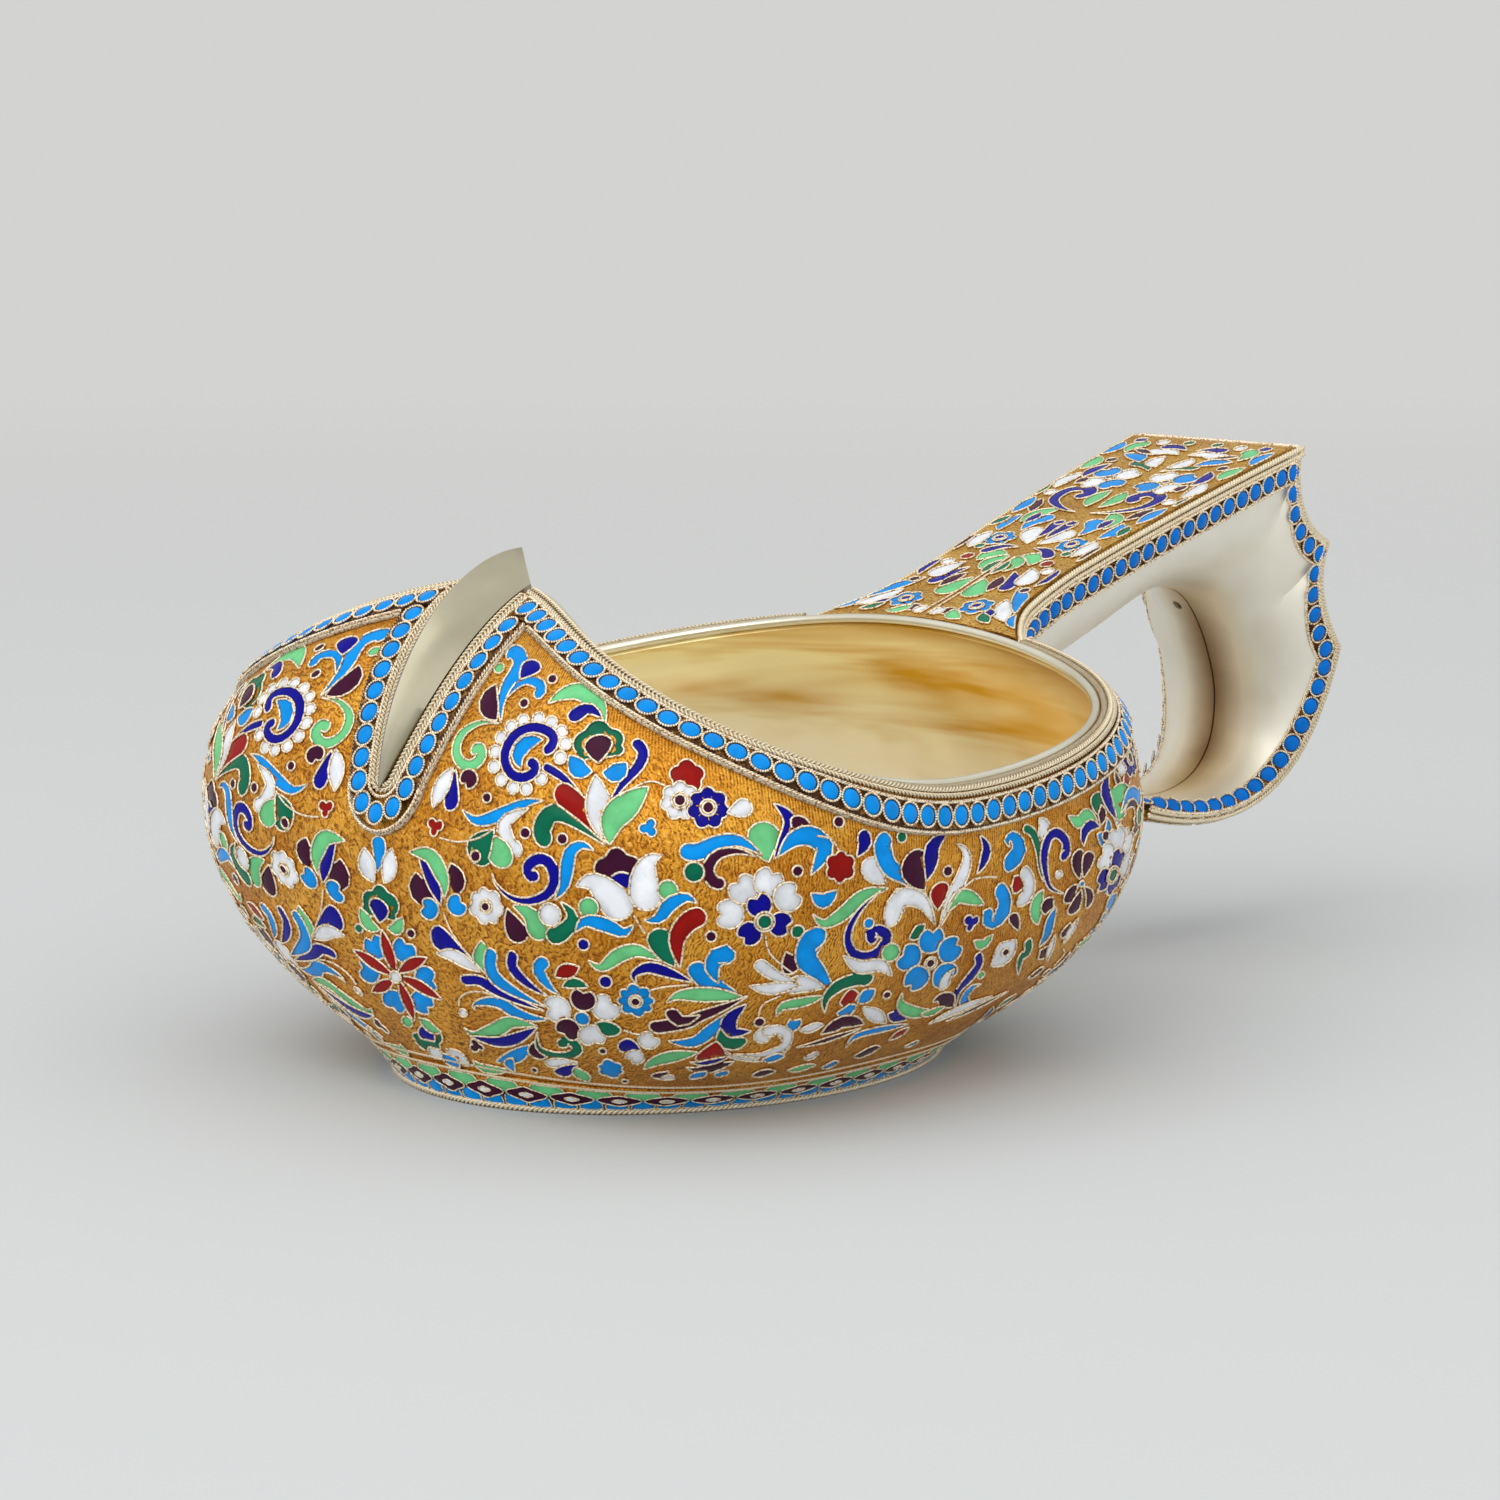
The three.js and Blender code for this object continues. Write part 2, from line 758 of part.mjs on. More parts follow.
function vented(sheet) {
  const drill = new THREE.CylinderGeometry(ventRadius, ventRadius, ventLength, beadSteps);
  const upward = new THREE.Vector3(0, 1, 0);
  drill.applyQuaternion(new THREE.Quaternion().setFromUnitVectors(upward, ventDirection));
  drill.translate(ventPoint.x, ventPoint.y, ventPoint.z);
  const cut = solid(sheet).subtract(solid(drill)).getMesh();
  const geometry = new THREE.BufferGeometry();
  const positions = new Float32Array(cut.vertProperties);
  geometry.setAttribute('position', new THREE.BufferAttribute(positions, 3));
  geometry.setIndex(Array.from(cut.triVerts));
  return geometry;
}

const tipStation = station(hook, 1, handleTipHalf, 0, 1);
const tipStep = handleWireRadius + gap;
tipStation.at.addScaledVector(hook.getTangent(1), tipStep);
const cornerStation = station(topLine, 1, handleEndHalf, 0, 1);

add('handle_top_panel', panel(topStations(0, topEnd, 12)), enamelPanel);
add('handle_back_panel', panel(backStations(backStart)), enamelPanel);
const cheekList = cheekStations();
const nearCheek = cheekSheet(cheekList, cheekStart, Infinity, 5, -1);
const farCheek = cheekSheet(cheekList, cheekStart, Infinity, 5, 1);
add('handle_cheek_near', nearCheek, silver);
add('handle_cheek_far', vented(farCheek), silver);
for (const [word, side] of [['near', -1], ['far', 1]]) {
  add(`handle_disc_band_${word}`, cheekSheet(cheekList, gap, discBandEnd, 2, side), turquoise);
  add(`handle_edge_wire_${word}`, edgeWire(side), creamWire);
}
add('handle_corner_wire', crossWire(cornerStation, handleWireRadius), creamWire);
add('handle_tip_wire', crossWire(tipStation, panelThickness / 2), creamWire);

export default kovsh;
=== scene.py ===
import math

import bmesh
import bpy
import numpy as np
from mathutils import Matrix, Vector
from mathutils.bvhtree import BVHTree


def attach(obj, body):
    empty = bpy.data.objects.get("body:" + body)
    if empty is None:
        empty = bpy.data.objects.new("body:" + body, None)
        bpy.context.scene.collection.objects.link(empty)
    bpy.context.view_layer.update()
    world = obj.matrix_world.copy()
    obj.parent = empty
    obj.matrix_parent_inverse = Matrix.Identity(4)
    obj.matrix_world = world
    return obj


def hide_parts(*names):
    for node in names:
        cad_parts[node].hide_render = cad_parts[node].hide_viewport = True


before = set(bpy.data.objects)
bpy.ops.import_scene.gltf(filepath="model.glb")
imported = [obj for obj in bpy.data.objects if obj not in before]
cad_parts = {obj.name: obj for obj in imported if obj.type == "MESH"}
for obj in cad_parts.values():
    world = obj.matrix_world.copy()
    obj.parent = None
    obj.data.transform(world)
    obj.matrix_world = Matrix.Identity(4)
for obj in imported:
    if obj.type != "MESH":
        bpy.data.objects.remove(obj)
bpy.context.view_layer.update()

MM = 0.001
TAU = math.tau

# ---------------------------------------------------------------- sizes, in millimetres
GAP = 0.3
BASE = dict(front=43.7, back=29.0, half=30.5, mid=-6.6, front_power=2, back_power=2)
BELLY = dict(front=57.9, back=47.2, half=52.4, mid=-10, front_power=3.25, back_power=3.25)
MOUTH = dict(front=48.6, back=40.6, half=51.4, mid=-10, front_power=2.6, back_power=2.9)
BELLY_FRONT_HEIGHT, BELLY_BACK_HEIGHT = 34.6, 30.6
PROW_HEIGHT, SIDE_HEIGHT, STERN_HEIGHT = 62.9, 40.9, 51.4
LOWEST = math.radians(91)
PROW_RECESS, RECESS_REACH, RECESS_POWER = 13, 20.7, 1.15
FOOT_SLOPE, SHOULDER_SLOPE = 0.6, 1.25
BOWL_BOTTOM = 1.3
WALL = 1.5
BAND_WIDTH, BAND_THICKNESS = 3.2, 0.6
ROPE_LINE, BAND_LINE, BORDER_LINE = 0.9, 1.95, 5.9
VEE_ROPE, VEE_BAND, VEE_BORDER = 1.05, 2.1, 6.05
KEEL_HALF, KEEL_END, KEEL_FOOT_SHARE, VEE_DROP = 4.8, 0.5, 0.59, 0.42
DISC_PITCH = 3.0
HATCH_PITCH, HATCH_FADE = 0.42, (9.5, 7.0)

# Camera: where it stands, which way it looks, its focal length and frame in pixels of the photograph,
# and the pixels that a millimetre of the ware takes up there.
EYE = np.array([-425.1, -398.1, 130.6])
AZIMUTH, ELEVATION = math.radians(-47.41), math.radians(9)
FOCAL_PX, FRAME_PX, PX_PER_MM = 4577.86, 1500, 7.67
BACK = np.array([
    math.sin(AZIMUTH) * math.cos(ELEVATION),
    -math.cos(AZIMUTH) * math.cos(ELEVATION),
    math.sin(ELEVATION),
])
RIGHT = np.array([math.cos(AZIMUTH), math.sin(AZIMUTH), 0])
UP = np.cross(BACK, RIGHT)


# ---------------------------------------------------------------- the bowl's surface
def egg(angle, front, back, half, mid, front_power, back_power):
    """An oval section of the bowl, blunter or finer at either end as its powers say."""
    c, s = np.cos(angle), np.sin(angle)
    reach = np.where(c > 0, front + mid, back - mid)
    power = np.where(c > 0, front_power, back_power)
    radius = ((np.abs(c) / reach) ** power + (np.abs(s) / half) ** power) ** (-1 / power)
    return mid - radius * c, -radius * s


def mouth_height(angle):
    """The rim: high at the prow, lower at the stern, lowest at the sides."""
    turn = np.arctan2(np.abs(np.sin(angle)), np.cos(angle))
    front = np.cos(np.minimum(turn / LOWEST, 1) * math.pi / 2) ** 2
    back = np.sin(np.clip((turn - LOWEST) / (math.pi - LOWEST), 0, 1) * math.pi / 2) ** 2
    return (
        SIDE_HEIGHT
        + (PROW_HEIGHT - SIDE_HEIGHT) * np.where(turn < LOWEST, front, 0)
        + (STERN_HEIGHT - SIDE_HEIGHT) * np.where(turn < LOWEST, 0, back)
    )


def skin(angle, t):
    """Outer surface: angle 0 at the prow, pi / 2 at the near side; t 0 at the base, 1 at the mouth."""
    angle, t = np.broadcast_arrays(np.asarray(angle, float), np.asarray(t, float))
    base_x, base_y = egg(angle, **BASE)
    belly_x, belly_y = egg(angle, **BELLY)
    mouth_x, mouth_y = egg(angle, **MOUTH)
    lean = (1 - np.cos(angle)) / 2
    belly_z = BELLY_FRONT_HEIGHT + (BELLY_BACK_HEIGHT - BELLY_FRONT_HEIGHT) * lean
    turn = FOOT_SLOPE + (math.pi / 2 - FOOT_SLOPE) * np.minimum(t * 2, 1)
    low = (np.sin(turn) - math.sin(FOOT_SLOPE)) / (1 - math.sin(FOOT_SLOPE))
    low_rise = (math.cos(FOOT_SLOPE) - np.cos(turn)) / math.cos(FOOT_SLOPE)
    over = np.maximum(t * 2 - 1, 0)
    turn = SHOULDER_SLOPE * over
    high = (1 - np.cos(turn)) / (1 - math.cos(SHOULDER_SLOPE))
    high_rise = np.sin(turn) / math.sin(SHOULDER_SLOPE)
    is_low = t < 0.5
    y = np.where(is_low, base_y + (belly_y - base_y) * low, belly_y + (mouth_y - belly_y) * high)
    x = np.where(is_low, base_x + (belly_x - base_x) * low, belly_x + (mouth_x - belly_x) * high)
    recess = PROW_RECESS * over ** RECESS_POWER * np.exp(-((y / RECESS_REACH) ** 2))
    x = x + np.where(np.cos(angle) > 0, recess, 0)
    z_low = BOWL_BOTTOM + (belly_z - BOWL_BOTTOM) * low_rise
    z_high = belly_z + (mouth_height(angle) - belly_z) * high_rise
    return np.stack([x, y, np.where(is_low, z_low, z_high)], -1)


def unit(v):
    v = np.asarray(v, float)
    return v / np.maximum(np.linalg.norm(v, axis=-1, keepdims=True), 1e-12)


def skin_normal(angle, t):
    small = 1e-3
    up = skin(angle, np.minimum(t + small, 1)) - skin(angle, np.maximum(np.asarray(t) - small, 0))
    round_ = skin(np.asarray(angle) + small, t) - skin(np.asarray(angle) - small, t)
    return -unit(np.cross(up, round_))


def on_skin(angle, t, out):
    out = np.asarray(out, float)
    return skin(angle, t) + skin_normal(angle, t) * out[..., None]


def share_at(angle, length, from_mouth=True):
    """The t that lies a given length down from the mouth, or up from the base."""
    steps = np.linspace(1, 0, 241) if from_mouth else np.linspace(0, 1, 241)
    flat = np.atleast_1d(angle)
    line = skin(flat[:, None], steps[None, :])
    run = np.linalg.norm(np.diff(line, axis=1), axis=-1).cumsum(1)
    run = np.concatenate([np.zeros((len(flat), 1)), run], 1)
    lengths = np.broadcast_to(length, flat.shape)
    return np.array([np.interp(d, r, steps) for d, r in zip(lengths, run)])


def angle_beside_keel(t, y):
    """Where the skin is y off the centre line, on the prow's half."""
    angle = np.zeros(np.broadcast(t, y).shape)
    for _ in range(24):
        angle = angle + (skin(angle, t)[..., 1] - y) / BELLY["front"]
    return angle


def angle_beside_stern(t, y):
    """Where the skin is y off the centre line, on the stern's half."""
    angle = np.full(np.broadcast(t, y).shape, math.pi) * np.sign(-np.asarray(y, float))
    for _ in range(30):
        angle = angle - (skin(angle, t)[..., 1] - y) / BELLY["back"]
    return angle


# ---------------------------------------------------------------- shader values
class Shade:
    """A shader socket that arithmetic works on. Any other node comes from node()."""

    def __init__(self, tree, socket=None):
        self.tree = tree
        self.socket = socket

    def node(self, kind, inputs=None, out=0, **settings):
        made = self.tree.nodes.new(kind)
        for key, value in settings.items():
            setattr(made, key, value)
        for key, value in (inputs or {}).items():
            if isinstance(value, Shade):
                self.tree.links.new(value.socket, made.inputs[key])
            else:
                made.inputs[key].default_value = value
        return Shade(self.tree, made.outputs[out])

    def math(self, operation, *terms):
        return self.node("ShaderNodeMath", dict(enumerate(terms)), operation=operation)

    def __add__(self, other):
        return self.math("ADD", self, other)

    def __sub__(self, other):
        return self.math("SUBTRACT", self, other)

    def __rsub__(self, other):
        return self.math("SUBTRACT", other, self)

    def __mul__(self, other):
        return self.math("MULTIPLY", self, other)

    def __truediv__(self, other):
        return self.math("DIVIDE", self, other)

    __radd__ = __add__
    __rmul__ = __mul__

    def clamp(self):
        return self.node("ShaderNodeClamp", {0: self})

    def between(self, low, high):
        """0 below low, 1 above high."""
        return self.node("ShaderNodeMapRange", {0: self, 1: low, 2: high, 3: 0.0, 4: 1.0})

    def mix(self, first, second):
        """Colours mixed by this value."""
        return self.node(
            "ShaderNodeMix", {0: self, 6: colour(first), 7: colour(second)}, out=2, data_type="RGBA"
        )


def colour(value):
    return value if isinstance(value, Shade) else (*value, 1)


def srgb(code):
    """A linear colour from a six-figure code."""
    parts = [int(code[i:i + 2], 16) / 255 for i in (0, 2, 4)]
    return tuple(p / 12.92 if p <= 0.04045 else ((p + 0.055) / 1.055) ** 2.4 for p in parts)


def new_material(name, metallic=0.0, roughness=0.5, coat=0.0):
    """An empty material: returns it, a Shade to build from, its surface node and its place."""
    made = bpy.data.materials.new(name)
    made.use_nodes = True
    tree = made.node_tree
    surface = tree.nodes["Principled BSDF"]
    surface.inputs["Metallic"].default_value = metallic
    surface.inputs["Roughness"].default_value = roughness
    surface.inputs["Coat Weight"].default_value = coat
    shade = Shade(tree)
    place = shade.node("ShaderNodeTexCoord", out=3)
    return made, shade, surface, place


def feed(surface, shade, **links):
    for key, value in links.items():
        shade.tree.links.new(value.socket, surface.inputs[key.replace("_", " ")])


def noise(shade, place, scale, detail=3.0, rough=0.5, distortion=0.0):
    inputs = {"Vector": place, "Scale": scale, "Detail": detail, "Roughness": rough, "Distortion": distortion}
    return shade.node("ShaderNodeTexNoise", inputs)


def bump(shade, height, distance, strength):
    return shade.node("ShaderNodeBump", {"Strength": strength, "Distance": distance, "Height": height})


def stippled_gilt(name="stippled_gilt", warm=("cc8216", "f0b03c", "7c420c"), hatched=False):
    """Gilded ground cut with short fine strokes, a warm orange, with painted shade in the cut's low parts and
    a painted glint on its high points. On the bowl it is hatched with upright lines near the mouth: its points
    carry their run round the bowl and their length below the rim."""
    made, s, surface, place = new_material(name, metallic=0.78)
    swirl = s.node("ShaderNodeTexWave", {0: place, "Scale": 720.0, "Distortion": 11.0, "Detail": 1.0}, out=1)
    strokes = noise(s, place, 1150, 2.0, 0.55, 2.2).between(0.36, 0.64)
    grain = noise(s, place, 3400, 1.0)
    if hatched:
        lengths = s.node("ShaderNodeAttribute", attribute_name="glaze")
        around, below = (s.node("ShaderNodeSeparateColor", {0: lengths}, out=k) for k in (0, 1))
        lines = s.math("SINE", around * (TAU / HATCH_PITCH) + noise(s, place, 500, 1.0) * 5) * 0.5 + 0.5
        swirl = below.between(*HATCH_FADE).mix(swirl, lines)
    cut = (swirl * 0.4 + strokes * 0.45 + grain * 0.45 - 0.15).clamp()
    patches = noise(s, place, 110, 3.0).between(0.3, 0.7)
    base = patches.mix(srgb(warm[0]), srgb(warm[1]))
    # Painted shade: the low parts of the cut take the dark third tone. Painted highlight: its high points take
    # the pale glint.
    darkened = cut.between(0.08, 0.6).mix(srgb(warm[2]), base)
    glint = (cut.between(0.75, 1.0) * 0.6).mix(darkened, srgb("f6d486"))
    feed(surface, s, Base_Color=glint, Normal=bump(s, cut, 0.00016, 0.6), Roughness=0.5 - cut * 0.14)
    return made


def polished_gold():
    """The bowl's inside: thin gilding over silver, in soft bands, with a pale painted reflection low down."""
    made, s, surface, place = new_material("polished_gold", metallic=1.0)
    across, height = (s.node("ShaderNodeSeparateXYZ", {0: place}, out=i) for i in (1, 2))
    amber = 1 - across.between(-0.018, 0.012)
    flat = s.node("ShaderNodeMapping", {0: place, 3: (9.0, 9.0, 75.0)})
    cloud = noise(s, place, 34, 4.0)
    streaks = noise(s, flat, 1.6, 3.0, 0.6, 0.8)
    # Painted reflection: low in the bowl the inside is painted pale and made less metallic.
    pale = ((0.041 - height) * 60 + streaks * 1.1 - 0.35 - amber * 0.4).clamp()
    tone = streaks.between(0.3, 0.54).mix(srgb("d6a236"), srgb("fff4c4"))
    tone = (amber * 0.6).mix(tone, srgb("c48f1e"))
    tone = pale.mix(tone, srgb("f2ead2"))
    dents = noise(s, place, 75, 1.5) + noise(s, place, 900, 2.0) * 0.02
    feed(
        surface, s, Base_Color=tone, Metallic=1 - pale * 0.55, Roughness=0.25 + cloud * 0.16,
        Normal=bump(s, dents, 0.0011, 0.55),
    )
    return made


def polished_silver(name="polished_silver", darkened=0.25, dull="d9d2ba", bright="f2eedf"):
    """Warm old silver: soft tarnish in clouds, and fine rubbing marks."""
    made, s, surface, place = new_material(name, metallic=1.0)
    cloud = noise(s, place, 60, 5.0, 0.6)
    clean = (cloud * 1.4 - 0.2).clamp().mix(srgb(dull), srgb(bright))
    tarnish = noise(s, place, 26, 4.0, 0.65).between(0.56, 0.78) * darkened
    tone = tarnish.mix(clean, srgb("8a6330"))
    rubbed = noise(s, place, 1400, 2.0)
    feed(
        surface, s, Base_Color=tone, Roughness=0.24 + cloud * 0.14 + tarnish * 0.2,
        Normal=bump(s, noise(s, place, 120, 2.0) + rubbed * 0.05, 0.0004, 0.35),
    )
    return made


def cheek_silver():
    """Silver of the handle's inner cheeks, gilded and browned along the fold of the hook."""
    made, s, surface, place = new_material("cheek_silver", metallic=0.5)
    axes = [s.node("ShaderNodeSeparateXYZ", {0: place}, out=i) for i in range(3)]
    cloud = noise(s, place, 70, 5.0, 0.6)
    fold = (1 - axes[1].math("ABSOLUTE", axes[1]) / 0.0075).clamp()
    deep = axes[0].between(0.092, 0.106) * fold
    brown = (deep * 1.25 + cloud * 0.7 - 0.72).clamp()
    edge = noise(s, place, 30, 3.0).between(0.5, 0.75) * 0.35
    clean = (cloud * 1.3 - 0.15).clamp().mix(srgb("eae4d2"), srgb("fbf8ee"))
    gilt = (fold * 0.75 * axes[0].between(0.07, 0.1) + edge * 0.6).clamp().mix(clean, srgb("d0a850"))
    tone = brown.mix(gilt, srgb("6b4520"))
    feed(
        surface, s, Base_Color=tone, Roughness=0.36 + cloud * 0.14 + brown * 0.15,
        Normal=bump(s, noise(s, place, 140, 2.0), 0.0004, 0.3),
    )
    return made


def filigree_wire(name="filigree_wire", pit_shade=1.0, pale="fdf0d6"):
    """Twisted wire: pale gold, with painted shade in darker pits between the twists."""
    made, s, surface, place = new_material(name, metallic=0.55)
    shaded_pits = noise(s, place, 3000, 1.0)
    wear = noise(s, place, 140, 3.0)
    # Painted shade: where the bump dips, the wire is painted dark.
    tone = (1 - shaded_pits.between(0.52, 0.3) * pit_shade).mix(srgb("a87c48"), srgb(pale))
    tone = (wear.between(0.45, 0.8) * 0.25).mix(tone, srgb("e6c48c"))
    feed(surface, s, Base_Color=tone, Roughness=0.34 + shaded_pits * 0.2, Normal=bump(s, shaded_pits, 0.0001, 0.6))
    return made


def dark_recess():
    """The ground between the discs: gilding gone brown, with a little gold left. As the dark core under the
    braids it is painted shade between their strands.
    """
    made, s, surface, place = new_material("dark_recess", metallic=0.7)
    grain = noise(s, place, 1500, 3.0, 0.6)
    tone = grain.between(0.5, 0.72).mix(srgb("4a2a12"), srgb("c08a3c"))
    feed(surface, s, Base_Color=tone, Roughness=0.6 - grain * 0.2, Normal=bump(s, grain, 0.0001, 0.6))
    return made


def enamel():
    """Glassy enamel, its colour carried by the mesh, faintly clouded."""
    made, s, surface, place = new_material("enamel", coat=0.04)
    surface.inputs["Coat Roughness"].default_value = 0.06
    surface.inputs["Specular IOR Level"].default_value = 0.08
    own = s.node("ShaderNodeAttribute", attribute_name="glaze")
    cloud = noise(s, place, 420, 3.0, 0.6)
    dark = s.node("ShaderNodeMix", {0: 0.22, 6: own, 7: (0.0, 0.0, 0.0, 1)}, out=2, data_type="RGBA")
    pits = noise(s, place, 1800, 1.0)
    feed(
        surface, s, Base_Color=cloud.between(0.3, 0.62).mix(dark, own), Roughness=0.16 + pits * 0.16,
        Normal=bump(s, cloud + pits * 0.3, 0.00006, 0.5),
    )
    return made


# The third tone of each gilt is the painted shade in the low parts of its cut.
GILT = stippled_gilt()
BOWL_GILT = stippled_gilt("hatched_gilt", hatched=True)
PANEL_GILT = stippled_gilt("panel_gilt", ("c28c2e", "eabc58", "7a4f16"))
GOLD = polished_gold()
SILVER = polished_silver()
# The keel plate's silver is a darker copy of the same silver: painted shade.
KEEL_SILVER_SHADED = polished_silver("keel_silver_shaded", 0.05, "948d74", "b8b29e")
CHEEK = cheek_silver()
WIRE = filigree_wire()
BRAID = filigree_wire("braided_wire", 0.3, "ecdfc2")
RECESS = dark_recess()
ENAMEL = enamel()


# ---------------------------------------------------------------- meshes
def linked(name, data):
    """A new object at the origin, in the scene."""
    thing = bpy.data.objects.new(name, data)
    bpy.context.scene.collection.objects.link(thing)
    return thing


def poured(made, mesh):
    """The mesh, filled with what was made."""
    made.to_mesh(mesh)
    made.free()
    return mesh


def piece(name, points, faces, materials, nodes=(), smooth=40, glaze=None, which=None):
    """A finished piece from points in millimetres. 'glaze' is a colour for each point, 'which' the
    material of each face, 'smooth' the angle in degrees above which an edge stays sharp."""
    mesh = bpy.data.meshes.new(name)
    mesh.from_pydata((np.asarray(points, float) * MM).tolist(), [], [list(map(int, f)) for f in faces])
    for one in materials:
        mesh.materials.append(one)
    if which is not None:
        mesh.polygons.foreach_set("material_index", which)
    if glaze is not None:
        layer = mesh.attributes.new("glaze", "FLOAT_COLOR", "POINT")
        layer.data.foreach_set("color", np.asarray(glaze, float).ravel())
    mesh.shade_smooth()
    mesh.set_sharp_from_angle(angle=math.radians(smooth))
    mesh.update()
    return declare(linked(name, mesh), nodes)


def declare(thing, nodes=()):
    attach(thing, "root")
    if nodes:
        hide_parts(*nodes)
    return thing


def grid_faces(rows, columns, loop_rows=False, loop_columns=False, start=0):
    i = np.arange(rows if loop_rows else rows - 1)
    j = np.arange(columns if loop_columns else columns - 1)
    i, j = [a.ravel() for a in np.meshgrid(i, j, indexing="ij")]
    i2, j2 = (i + 1) % rows, (j + 1) % columns
    return np.stack([i * columns + j, i2 * columns + j, i2 * columns + j2, i * columns + j2], 1) + start


def closed_loft(rings):
    """A closed body from an array of rings; loose ends get a cap."""
    rows, columns = rings.shape[:2]
    faces = grid_faces(rows, columns, loop_columns=True).tolist()
    faces.append(list(range(columns)))
    faces.append(list(range((rows - 1) * columns, rows * columns))[::-1])
    return rings.reshape(-1, 3), faces


def face_outwards(thing):
    made = bmesh.new()
    made.from_mesh(thing.data)
    bmesh.ops.recalc_face_normals(made, faces=made.faces)
    poured(made, thing.data)
    return thing


def repainted(node, material):
    """A CAD node that keeps its mesh and gets a finish."""
    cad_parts[node].data.materials.clear()
    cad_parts[node].data.materials.append(material)


def mirrored(points):
    return points * np.array([1, -1, 1])


def steps_of(line):
    return np.linalg.norm(np.diff(line, axis=0), axis=1)


def run_of(line):
    """The length along a line at each of its points."""
    return np.r_[0, steps_of(line).cumsum()]


def at_length(length, run, line):
    """The point at a length along a line, or one for each of several lengths."""
    return np.stack([np.interp(length, run, line[:, i]) for i in range(line.shape[1])], -1)


# ---------------------------------------------------------------- geometry node trees
class Tree:
    """A geometry node tree with named inputs."""

    def __init__(self, name):
        self.group = bpy.data.node_groups.new(name, "GeometryNodeTree")
        self.group.is_modifier = True
        self.group.interface.new_socket("Geometry", in_out="INPUT", socket_type="NodeSocketGeometry")
        self.group.interface.new_socket("Geometry", in_out="OUTPUT", socket_type="NodeSocketGeometry")
        self.entry = self.group.nodes.new("NodeGroupInput")
        self.exit = self.group.nodes.new("NodeGroupOutput")

    def value(self, name, kind="NodeSocketFloat"):
        self.group.interface.new_socket(name, in_out="INPUT", socket_type=kind)
        return self.entry.outputs[name]

    def add(self, kind, inputs=None, out=0, **settings):
        made = self.group.nodes.new(kind)
        for key, value in settings.items():
            setattr(made, key, value)
        for key, value in (inputs or {}).items():
            if isinstance(value, bpy.types.NodeSocket):
                self.group.links.new(value, made.inputs[key])
            else:
                made.inputs[key].default_value = value
        return made.outputs[out]

    def math(self, operation, *terms):
        return self.add("ShaderNodeMath", dict(enumerate(terms)), operation=operation)

    def vector(self, operation, first, second):
        key = "Scale" if operation == "SCALE" else 1
        return self.add("ShaderNodeVectorMath", {0: first, key: second}, operation=operation)

    def finish(self, geometry, material):
        plain = self.add("GeometryNodeRealizeInstances", {"Geometry": geometry})
        soft = self.add("GeometryNodeSetShadeSmooth", {"Geometry": plain})
        painted = self.add("GeometryNodeSetMaterial", {"Geometry": soft, "Material": material})
        self.group.links.new(painted, self.exit.inputs[0])
        return self.group


def strand_tree():
    """A strand that winds round the path it is given. 'out' is the path's own upward direction."""
    t = Tree("wound_strand")
    radius, lay, pitch = t.value("Strand Radius"), t.value("Lay Radius"), t.value("Pitch")
    phase, shift, hand = t.value("Phase"), t.value("Shift"), t.value("Hand")
    material = t.value("Material", "NodeSocketMaterial")
    path = t.add("GeometryNodeMeshToCurve", {"Mesh": t.entry.outputs[0]})
    path = t.add(
        "GeometryNodeResampleCurve", {"Curve": path, "Length": t.math("DIVIDE", pitch, 7.0)}, mode="LENGTH"
    )
    run = t.add("GeometryNodeSplineParameter", out=1)
    turn = t.math("ADD", t.math("MULTIPLY", t.math("DIVIDE", run, pitch), TAU), phase)
    up = t.add("GeometryNodeInputNamedAttribute", {"Name": "out"}, data_type="FLOAT_VECTOR")
    along = t.add("GeometryNodeInputTangent")
    side = t.vector("NORMALIZE", t.vector("CROSS_PRODUCT", along, up), (0, 0, 0))
    lift = t.math("MULTIPLY", t.math("SINE", turn), lay)
    swing = t.math("MULTIPLY", t.math("MULTIPLY", t.math("COSINE", turn), lay), hand)
    move = t.math("ADD", swing, shift)
    offset = t.vector("ADD", t.vector("SCALE", up, lift), t.vector("SCALE", side, move))
    wound = t.add("GeometryNodeSetPosition", {"Geometry": path, "Offset": offset})
    profile = t.add("GeometryNodeCurvePrimitiveCircle", {"Resolution": 5, "Radius": radius})
    body = t.add("GeometryNodeCurveToMesh", {"Curve": wound, "Profile Curve": profile, "Fill Caps": True})
    return t.finish(body, material)


def wire_tree():
    """A thin wire along each path it is given."""
    t = Tree("cell_wire")
    radius = t.value("Radius")
    material = t.value("Material", "NodeSocketMaterial")
    path = t.add("GeometryNodeMeshToCurve", {"Mesh": t.entry.outputs[0]})
    profile = t.add("GeometryNodeCurvePrimitiveCircle", {"Resolution": 4, "Radius": radius})
    body = t.add("GeometryNodeCurveToMesh", {"Curve": path, "Profile Curve": profile, "Fill Caps": True})
    return t.finish(body, material)


def row_tree():
    """A copy of a small shape at each point, standing along 'out'."""
    t = Tree("row_of_copies")
    shape, size = t.value("Shape", "NodeSocketObject"), t.value("Size")
    material = t.value("Material", "NodeSocketMaterial")
    up = t.add("GeometryNodeInputNamedAttribute", {"Name": "out"}, data_type="FLOAT_VECTOR")
    turn = t.add("FunctionNodeAlignRotationToVector", {"Vector": up}, axis="Z")
    copy = t.add("GeometryNodeObjectInfo", {"Object": shape}, out=4)
    placed = t.add(
        "GeometryNodeInstanceOnPoints",
        {"Points": t.entry.outputs[0], "Instance": copy, "Rotation": turn, "Scale": size},
    )
    return t.finish(placed, material)


STRAND, CELL_WIRE, ROW = strand_tree(), wire_tree(), row_tree()


